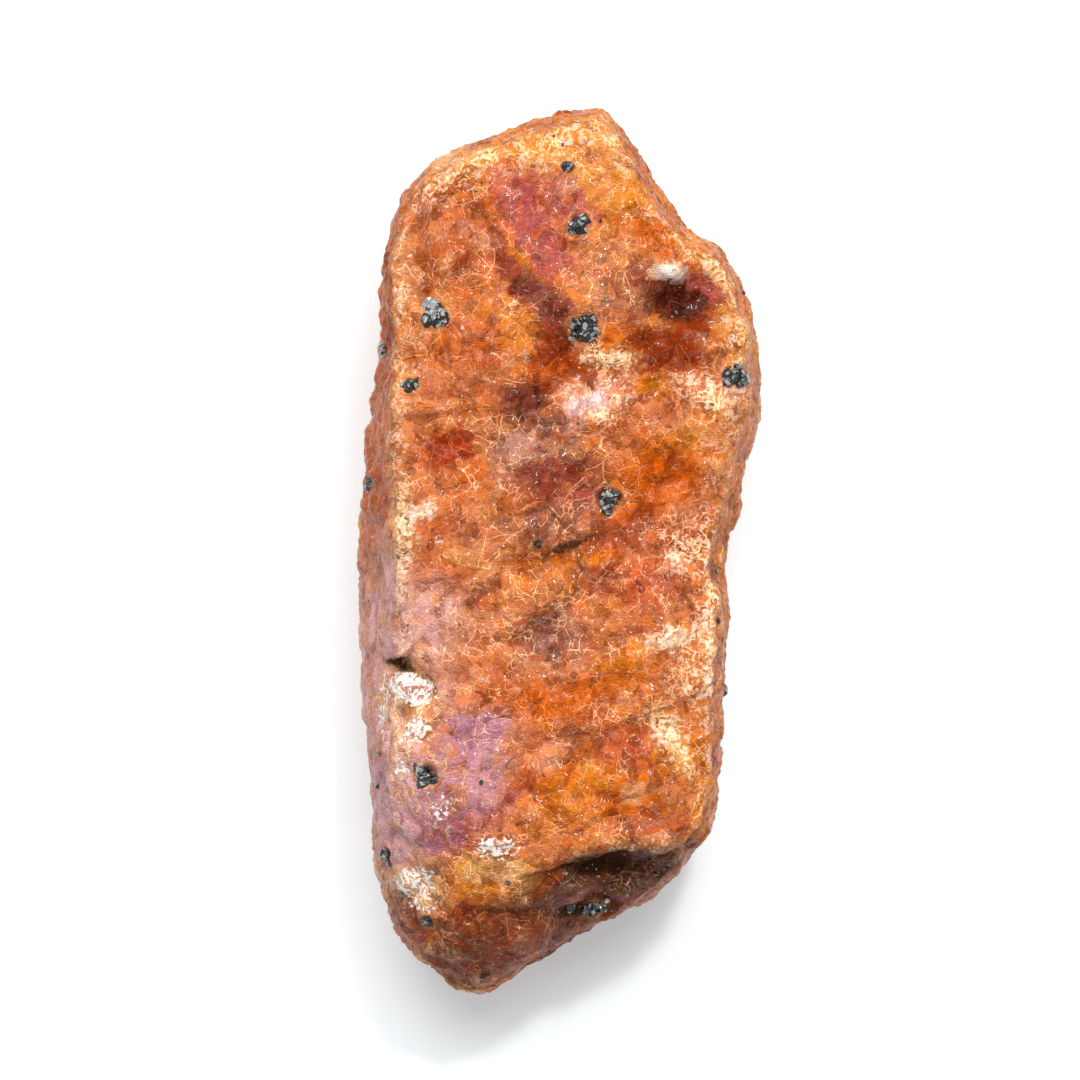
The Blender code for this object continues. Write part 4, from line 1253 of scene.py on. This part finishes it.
def fine_relief(at, cell_height):
    """How far each point moves out for the forms that only the dressed stone has: each cell of the net is
    a tilted pillow, soft noise and small lumps lie over them, and grains sit in shallow pits with a raised
    rim. All of it fades out above the rest plane."""
    loud = 1.0 - CALM_SHARE * at.calm
    pillow = smooth_step(0.0, PILLOW_RIM, at.seam)
    tilt = np.sum((at.net - at.own) * (at.draws - 0.5), axis=1)
    out = (pillow * (1.0 + PILLOW_TILT * tilt) - PILLOW_LEVEL) * cell_height / MM * loud
    for size, height, seed, on_walls in FINE_NOISES.values():
        out += height * (at.steep if on_walls else loud) * noise(at.points, size, seed)
    fine = {name: (from_picture(middle), *rest) for name, (middle, *rest) in FINE_LUMPS.items()}
    out += lumps(at.places, fine) * at.upward
    out -= PIT_DEPTH * (1.0 - smooth_step(*PIT_END, at.grain_distance))
    out += PIT_RIM * bell(at.grain_distance - PIT_RIM_AT, PIT_RIM_WIDTH)
    return out * smooth_step(0.0, FADE_OVER_REST, at.points[:, 2])


def make_skin(skin, colours):
    """The stone's skin. Each point of the grid goes out from the heart by the radius of its direction, is
    moved along its normal by the solid's relief, is fitted to the solid's box in plan, and is moved again
    by the fine relief. The net, the tones and the marks are stored on it."""
    ways = skin_ways()
    points = chipped(ways * stone_radius(ways)[:, None] + HEART)
    material = corundum_skin(skin, colours)
    piece = new_piece("ruby_stone", points, ring_faces(RINGS, RING_POINTS), material, True)
    mesh = piece.data
    points, normals = mesh_arrays(mesh)
    set_points(mesh, fit_plan(points + normals * relief(points, normals)[:, None]))
    points, normals = mesh_arrays(mesh)
    at = survey(points, normals, skin.cell_size)
    out = fine_relief(at, skin.cell_height)
    set_points(mesh, fit_box(points + normals * out[:, None]))
    set_attribute(mesh, "net", "FLOAT_VECTOR", at.net + NET_SHIFT)
    set_attribute(mesh, "tone", "FLOAT_COLOR", skin_tones(at, colours))
    for name, cover in skin_marks(at).items():
        set_attribute(mesh, name, "FLOAT", cover)
    return piece


def chunk_ways():
    """Directions of a small ball's grid: rings from pole to pole, each closed on itself."""
    down = np.linspace(0.0, math.pi, CHUNK_RINGS + 2)[1:-1, None]
    around = np.arange(CHUNK_ROUND)[None, :] * 2 * math.pi / CHUNK_ROUND
    level = np.cos(down) + 0.0 * around
    ways = np.stack([np.sin(down) * np.cos(around), np.sin(down) * np.sin(around), level], axis=2)
    return np.concatenate([[(0.0, 0.0, 1.0)], ways.reshape(-1, 3), [(0.0, 0.0, -1.0)]])


def chunk_faces(count):
    """Faces of a number of chunks whose points follow each other, turned outward."""
    faces = [face[::-1] for face in ring_faces(CHUNK_RINGS, CHUNK_ROUND)]
    firsts = range(0, count * len(chunk_ways()), len(chunk_ways()))
    return [[index + first for index in face] for first in firsts for face in faces]


def chunk(half_sizes, random):
    """One angular chunk: in each direction the nearest of a few random planes round a ball, their corners
    only a little softened, stretched to its half sizes."""
    ways = chunk_ways()
    planes = random.normal(size=(CHUNK_PLANES, 3))
    planes /= np.linalg.norm(planes, axis=1)[:, None]
    reach = random.uniform(CHUNK_NEAREST, 1.0, CHUNK_PLANES)
    nearness = np.maximum(ways @ planes.T / reach, CHUNK_LEAST)
    radius = np.sum(nearness**CHUNK_SHARPNESS, axis=1) ** (-1.0 / CHUNK_SHARPNESS)
    return ways * np.minimum(radius, CHUNK_CORNER)[:, None] * half_sizes


def make_grains(grains):
    """The black grains: each is a cluster of angular chunks strewn over an oval in the plane of the skin,
    by the golden angle and the root of their number, and sunk in it, with a low crown in the middle."""
    points, normals = mesh_arrays(bpy.data.objects["ruby_stone"].data)
    random = np.random.default_rng(CHUNK_SEED)
    clusters = [(grain, CHUNKS_IN_GRAIN) for grain in large_grains()] + [(speck, 1) for speck in specks()]
    made = []
    for (place, size, turn), count in clusters:
        seat, normal = seat_of(points, normals, place)
        upright = np.array(Vector(normal).to_track_quat("Z", "Y").to_matrix())
        turn = math.radians(turn)
        for number in range(count):
            angle = number * GOLDEN_ANGLE + random.uniform(0.0, CHUNK_STRAY)
            out = math.sqrt(number / count)
            x, y = np.array((math.cos(angle), math.sin(angle))) * out * size / 2
            x, y = x * math.cos(turn) - y * math.sin(turn), x * math.sin(turn) + y * math.cos(turn)
            across = np.mean(size) * (random.uniform(*CHUNK_WIDTH) if count > 1 else SPECK_WIDTH)
            body = chunk(across * random.uniform(*CHUNK_STRETCH, 3), random)
            height = grains.stands_out / MM - across * CHUNK_SUNK - CROWN * out
            middle = np.array((x, y, height + random.uniform(-CHUNK_UNEVEN, CHUNK_UNEVEN)))
            made.append((body + middle) @ upright.T + seat)
    points = np.clip(np.concatenate(made), BOX_LOW, BOX_HIGH)
    return new_piece("black_grains", points, chunk_faces(len(made)), grain_mineral(grains), False)


class Socket:
    """An output of a node. Arithmetic on it adds Math nodes."""

    def __init__(self, nodes, socket):
        self.nodes = nodes
        self.socket = socket

    def math(self, operation, first, second):
        """A Math node on two outputs or numbers."""
        return self.nodes.add("ShaderNodeMath", {"operation": operation}, {0: first, 1: second})

    def beside(self, name):
        """Another output of the same node."""
        return Socket(self.nodes, self.socket.node.outputs[name])

    def __add__(self, other):
        return self.math("ADD", self, other)

    def __radd__(self, other):
        return self.math("ADD", other, self)

    def __sub__(self, other):
        return self.math("SUBTRACT", self, other)

    def __rsub__(self, other):
        return self.math("SUBTRACT", other, self)

    def __mul__(self, other):
        return self.math("MULTIPLY", self, other)

    def __rmul__(self, other):
        return self.math("MULTIPLY", other, self)


class Nodes:
    """The nodes of one material, added before its Principled shader."""

    def __init__(self, name, constants):
        self.material = bpy.data.materials.new(name)
        self.material.use_nodes = True
        self.tree = self.material.node_tree
        self.shader = self.tree.nodes["Principled BSDF"]
        for socket, value in constants.items():
            self.shader.inputs[socket].default_value = value

    def feed(self, socket, value):
        """Links a node's output to a socket, or gives the socket a value."""
        if isinstance(value, Socket):
            self.tree.links.new(value.socket, socket)
        else:
            socket.default_value = value

    def add(self, kind, settings, sockets, output=0):
        """A node of a kind: its settings are made first, then its sockets get values or links."""
        node = self.tree.nodes.new(kind)
        for name, value in settings.items():
            setattr(node, name, value)
        for name, value in sockets.items():
            self.feed(node.inputs[name], value)
        return Socket(self, node.outputs[output])

    def stored(self, name, output):
        """What the mesh stores for its points under a name."""
        return self.add("ShaderNodeAttribute", {"attribute_name": name}, {}, output)

    def cells(self, vector, scale, feature, output="Distance"):
        """Cells round random points: a random colour for each, or the distance to the nearest seam."""
        sockets = {"Vector": vector, "Scale": scale}
        return self.add("ShaderNodeTexVoronoi", {"feature": feature}, sockets, output)

    def clouds(self, vector, size, detail=2.0, distortion=0.0):
        """Noise from 0 to 1 whose clouds are a size in millimetres."""
        sockets = {"Vector": vector, "Scale": 1.0 / (size * MM), "Detail": detail}
        return self.add("ShaderNodeTexNoise", {}, {**sockets, "Distortion": distortion})

    def rise(self, value, low, high):
        """0 up to low, 1 from high, smooth between them; low may be the greater, for a fall."""
        settings = {"interpolation_type": "SMOOTHSTEP"}
        ends = (low, high, 0.0, 1.0) if low < high else (high, low, 1.0, 0.0)
        return self.add("ShaderNodeMapRange", settings, dict(enumerate((value, *ends))))

    def mix(self, factor, first, second, blend="MIX"):
        """The first colour turned into the second by a factor."""
        settings = {"data_type": "RGBA", "blend_type": blend}
        return self.add("ShaderNodeMix", settings, {0: factor, 6: first, 7: second}, 2)

    def scaled(self, colour_socket, by):
        """A colour made brighter or darker by a number."""
        sockets = {0: colour_socket, "Scale": by}
        return self.add("ShaderNodeVectorMath", {"operation": "SCALE"}, sockets)

    def parts(self, colour_socket):
        """The three numbers of a colour."""
        red = self.add("ShaderNodeSeparateColor", {}, {0: colour_socket})
        return red, red.beside("Green"), red.beside("Blue")

    def bump(self, height, distance, strength=1.0):
        """Feeds the shader's normal with a height from 0 to 1 over a distance in millimetres."""
        sockets = {"Height": height, "Distance": distance * MM, "Strength": strength}
        self.feed(self.shader.inputs["Normal"], self.add("ShaderNodeBump", {}, sockets))


def rgba(values, by=1.0):
    """A colour's three values, made brighter or darker by a number, with a full fourth."""
    return (*(value * by for value in values), 1.0)


def skin_readings(n):
    """What the layers of the stone's skin read: the stored marks and tone, with how clear and how cool,
    pinkish or lilac, it is; the net, wobbled; the random brightness and warmth of its cells at three
    scales; how far their seams are; and clouds of three sizes."""
    at = SimpleNamespace(**{name: n.stored(name, "Fac") for name in MARKS})
    place = n.add("ShaderNodeTexCoord", {}, {}, "Object")
    wobble = n.add("ShaderNodeTexNoise", {}, {"Vector": place, "Scale": 1.0 / (WOBBLE_SIZE * MM)}, "Color")
    wobbled = {0: wobble, 1: (WOBBLE,) * 3, 2: n.stored("net", "Vector")}
    net = n.add("ShaderNodeVectorMath", {"operation": "MULTIPLY_ADD"}, wobbled)

    at.bright, at.warm, _ = n.parts(n.cells(net, 1.0, "F1", "Color"))
    at.fine_bright, _, _ = n.parts(n.cells(net, FINE_NET, "F1", "Color"))
    at.coarse_bright, _, _ = n.parts(n.cells(net, COARSE_NET, "F1", "Color"))
    at.seam = n.cells(net, 1.0, "DISTANCE_TO_EDGE")
    at.fine_seam = n.cells(net, FINE_NET, "DISTANCE_TO_EDGE")
    at.long_seam = n.cells(net, LONG_NET, "DISTANCE_TO_EDGE")
    at.soft = n.clouds(place, SOFT_SIZE, 3.0)
    at.grit = n.clouds(place, GRIT_SIZE, 3.0)
    at.feather = n.clouds(place, FEATHER_SIZE, 4.0, FEATHER_TWIST)
    at.breaks = n.clouds(place, FEATHER_SIZE)

    at.tone = n.stored("tone", "Color")
    at.clear = at.tone.beside("Alpha")
    _, green, at.blue = n.parts(at.tone)
    at.cool = n.rise(at.blue - green * 0.9, *RISES["cool"])
    return at


def cell_tones(n, at, gain):
    """The stored tone, multiplied by a deep one where the draws of the cells and a soft cloud say so, and as
    painted shade in the hollows, filtered by a warm or a fair glass, made light or dark from cell to cell,
    and turned yellower in the warmest cells and pinker in the coldest."""
    spread = at.bright * 0.34 + at.fine_bright * 0.14 + at.coarse_bright * 0.50 + at.soft * 0.90
    # the depth mark deepens the hollows: painted shade
    deep = n.rise(spread - at.depth * 0.7, *RISES["deep"])
    deepening = n.mix(at.cool, rgba(WARM_DEPTH), rgba(COOL_DEPTH))
    tone = n.mix(deep * (0.80 - at.calm * 0.65), at.tone, deepening, "MULTIPLY")
    fair = n.rise(at.cool + n.rise(at.blue, *RISES["pale"]), 0.0, 1.0)
    tone = n.mix(1.0, tone, n.mix(fair, rgba(WARM_GLASS), rgba(FAIR_GLASS)), "MULTIPLY")
    light = 0.53 + 0.34 * at.bright + 0.12 * at.fine_bright + 0.10 * at.coarse_bright + 0.64 * at.grit
    tone = n.scaled(tone, light * gain)
    yellowed = n.rise(at.warm, *RISES["yellow cell"]) * (0.6 - at.cool * 0.5)
    tone = n.mix(yellowed, tone, rgba(YELLOW_CELL), "MULTIPLY")
    pinkened = n.rise(at.warm, *RISES["pink cell"]) * 0.6
    return n.mix(pinkened, tone, rgba(PINK_CELL), "MULTIPLY")


def cracked(n, at, tone, cream):
    """The tone with pale cracks along the seams of three nets. A cloud breaks each net up by widening its
    cracks where the cloud is full. There are fewer in calm, steep and clear spots, and more in veils."""
    strewn = 0.40 + 0.60 * n.rise(at.soft, *RISES["strewn"]) + at.veil * 0.4
    quiet = (1.0 - at.calm * 0.6) * (1.0 - at.wall * 0.75) * (0.94 - at.clear * 0.90) * strewn
    pale = n.mix(0.62 + at.veil * 0.3 + at.cool * 0.2, n.scaled(tone, 2.4), cream)
    nets = {
        "middling": (at.seam, at.breaks),
        "fine": (at.fine_seam, at.feather),
        "long": (at.long_seam, at.soft),
    }
    for name, (seam, cloud) in nets.items():
        opening, widening, least, softness, strength = CRACKS[name]
        line = n.rise(n.rise(cloud, *opening) * widening + least - seam, 0.0, softness)
        tone = n.mix(line * quiet * strength, tone, pale)
    return tone


def corundum_skin(skin, colours):
    """Worn glassy corundum: the stored tone varied from cell to cell, feathery veils, pale cracks at three
    scales, chalk, dirt and painted shade, small dark pits and painted glints. It is duller in chalk and in
    the dirt and shade, and its clear coat is thinner on the walls. A fine hammered bump follows the finest
    cells."""
    n = Nodes("glassy corundum", STONE_FINISH)
    at = skin_readings(n)
    paints = {
        name: rgba(getattr(colours, name), skin.gain * light) for name, light in PAINT_LIGHTS.items()
    }
    tone = cell_tones(n, at, skin.gain)

    feathers = n.rise(at.feather + at.veil * 0.08, *RISES["feathers"])
    feathered = feathers * (at.veil * 0.86 + 0.04 * (1.0 - at.clear))
    frost = n.rise(at.feather + at.cool * 0.12, *RISES["frost"])
    tone = n.mix(feathered, tone, n.mix(frost, paints["cream"], paints["chalk"]))
    tone = cracked(n, at, tone, paints["cream"])

    broken_chalk = at.chalk + (at.grit - 0.5) * 0.9 + (at.feather - 0.5) * 1.3
    chalk_cover = n.rise(broken_chalk, *RISES["chalk"])
    blushing = n.rise(at.feather + (at.grit - 0.5) * 0.6, *RISES["blushing chalk"])
    tone = n.mix(chalk_cover, tone, n.mix(blushing, paints["chalk"], paints["blush"]))
    # Dirt, and painted shade in the creases, the hollows and under the ledge: dark umber over the tone.
    dirt_and_shade_cover = n.rise(at.dirt + (at.feather - 0.5) * 0.9, *RISES["dirt"])
    tone = n.mix(dirt_and_shade_cover * 0.92, tone, paints["umber"])
    tone = n.mix(n.rise(at.grit, *RISES["pits"]) * 0.7, tone, paints["mahogany"])
    # painted glints: white chalk specks in the colour where the fine cloud peaks
    painted_glint = n.rise(at.grit, *RISES["glints"]) * (0.8 + at.veil * 0.2 - at.clear * 0.60)
    n.feed(n.shader.inputs["Base Color"], n.mix(painted_glint, tone, paints["chalk"]))

    dull = n.rise(chalk_cover + dirt_and_shade_cover, 0.0, 1.0)
    rough = skin.roughness + (at.soft - 0.5) * 0.25 + dull * 0.45 + feathered * 0.15
    n.feed(n.shader.inputs["Roughness"], rough)
    n.feed(n.shader.inputs["Coat Weight"], (1.0 - dull) * (COAT - at.wall * COAT_WALL_LOSS))
    n.bump(n.rise(at.fine_seam, *RISES["pillows"]), BUMP_DEPTH)
    return n.material


def grain_mineral(grains):
    """Greenish black mineral with a painted sheen in grey on a few facets, and a trace of grey dust."""
    n = Nodes("black mineral", GRAIN_FINISH)
    place = n.add("ShaderNodeTexCoord", {}, {}, "Object")
    painted_sheen, rough, _ = n.parts(n.cells(place, 1.0 / (FACET_SIZE * MM), "F1", "Color"))
    dust = n.clouds(place, DUST_SIZE, 3.0)
    # a few facets painted pale grey as their sheen
    tone = n.mix(n.rise(painted_sheen, *RISES["facets"]) * 0.55, rgba(grains.dark), rgba(grains.pale))
    tone = n.mix(n.rise(dust, *RISES["dust"]) * 0.30, tone, rgba(grains.pale))
    n.feed(n.shader.inputs["Base Color"], tone)
    n.feed(n.shader.inputs["Roughness"], 0.14 + rough * 0.28)
    n.bump(dust, BUMP_DEPTH, 0.7)
    return n.material


def pale_floor(studio):
    """A plain pale sheet, a trace mottled."""
    n = Nodes("pale floor", {"Specular IOR Level": 0.2, "Emission Strength": studio.floor_glow})
    place = n.add("ShaderNodeTexCoord", {}, {}, "Object")
    mottle = n.clouds(place, 9.0)
    tone = n.mix(mottle, rgba(studio.floor), rgba(studio.floor, 0.99))
    n.feed(n.shader.inputs["Base Color"], tone)
    n.feed(n.shader.inputs["Roughness"], 0.7 + mottle * 0.1)
    return n.material


def aimed_light(name, toward, distance, size, power):
    """A round area light in a direction given by compass and height in degrees, aimed at the stone."""
    compass, height = (math.radians(angle) for angle in toward)
    level = math.cos(height)
    way = Vector((math.cos(compass) * level, math.sin(compass) * level, math.sin(height)))
    data = bpy.data.lights.new(name, "AREA")
    data.shape = "DISK"
    data.size = size
    data.energy = power
    light = bpy.data.objects.new(name, data)
    light.location = way * distance
    light.rotation_euler = way.to_track_quat("Z", "Y").to_euler()
    bpy.context.scene.collection.objects.link(light)


class RUBY_OT_stone(bpy.types.Operator):
    """Grow the stone with its hammered glassy skin"""

    bl_idname = "ruby.stone"
    bl_label = "Stone"

    def execute(self, context):
        piece = make_skin(context.scene.ruby_skin, context.scene.ruby_colours)
        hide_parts(NODE)
        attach(piece, BODY)
        return {"FINISHED"}


class RUBY_OT_grains(bpy.types.Operator):
    """Seat the black grains in the stone's skin"""

    bl_idname = "ruby.grains"
    bl_label = "Black grains"

    def execute(self, context):
        if "ruby_stone" not in bpy.data.objects:
            raise RuntimeError("grow the stone before its grains")
        piece = make_grains(context.scene.ruby_grains)
        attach(piece, BODY)
        return {"FINISHED"}


class RUBY_OT_studio(bpy.types.Operator):
    """Set the floor, the lights and the camera"""

    bl_idname = "ruby.studio"
    bl_label = "Studio"

    def execute(self, context):
        studio = context.scene.ruby_studio
        steps = np.linspace(-FLOOR_HALF, FLOOR_HALF, FLOOR_STEPS)
        x, y = (axis.ravel() for axis in np.meshgrid(steps, steps))
        points = np.stack([x, y, np.full_like(x, FLOOR_LEVEL)], axis=1)
        corner = np.arange(FLOOR_STEPS - 1)[:, None] * FLOOR_STEPS + np.arange(FLOOR_STEPS - 1)
        faces = np.stack([corner, corner + 1, corner + FLOOR_STEPS + 1, corner + FLOOR_STEPS], axis=2)
        floor = new_piece("floor", points, faces.reshape(-1, 4).tolist(), pale_floor(studio), False)

        aimed_light("key", KEY_TOWARD, KEY_DISTANCE, KEY_SIZE, studio.key_power)
        aimed_light("spark", SPARK_TOWARD, SPARK_DISTANCE, SPARK_SIZE, studio.spark_power)
        world = bpy.data.worlds.new("white studio")
        world.use_nodes = True
        background = world.node_tree.nodes["Background"]
        background.inputs["Color"].default_value = (1.0, 1.0, 1.0, 1.0)
        background.inputs["Strength"].default_value = studio.fill
        context.scene.world = world
        context.scene.view_settings.view_transform = "Standard"

        data = bpy.data.cameras.new("camera")
        data.lens = studio.lens
        data.sensor_width = SENSOR
        camera = bpy.data.objects.new("camera", data)
        width = PICTURE_SIDE * PICTURE_SCALE
        middle = from_picture((PICTURE_SIDE / 2, PICTURE_SIDE / 2))
        height = SHARP_LEVEL + width * studio.lens / SENSOR
        camera.location = Vector((*middle, height)) * MM
        context.scene.collection.objects.link(camera)
        context.scene.camera = camera
        return {"FINISHED"}


class RUBY_PT_panel(bpy.types.Panel):
    """Lists what the add-on makes"""

    bl_idname = "RUBY_PT_panel"
    bl_label = "Rough ruby"
    bl_space_type = "VIEW_3D"
    bl_region_type = "UI"
    bl_category = "Rough ruby"

    def draw(self, context):
        for operator in OPERATORS:
            self.layout.operator(operator.bl_idname)
        for group in GROUPS:
            box = self.layout.box()
            properties = getattr(context.scene, group)
            for name in properties.__annotations__:
                box.prop(properties, name)


GROUPS = {
    "ruby_skin": RubySkin,
    "ruby_colours": RubyColours,
    "ruby_grains": RubyGrains,
    "ruby_studio": RubyStudio,
}
OPERATORS = (RUBY_OT_stone, RUBY_OT_grains, RUBY_OT_studio)


def register():
    """Registers the groups of sizes and colours, the operators and the panel."""
    for group in GROUPS.values():
        bpy.utils.register_class(group)
    for name, group in GROUPS.items():
        setattr(bpy.types.Scene, name, bpy.props.PointerProperty(type=group))
    for thing in (*OPERATORS, RUBY_PT_panel):
        bpy.utils.register_class(thing)


def unregister():
    """Takes back what register made, in the reverse order."""
    for thing in (RUBY_PT_panel, *reversed(OPERATORS)):
        bpy.utils.unregister_class(thing)
    for name in GROUPS:
        delattr(bpy.types.Scene, name)
    for group in GROUPS.values():
        bpy.utils.unregister_class(group)


def main():
    """Makes every piece and the studio."""
    register()
    bpy.ops.ruby.stone()
    bpy.ops.ruby.grains()
    bpy.ops.ruby.studio()


if __name__ == "__main__":
    main()
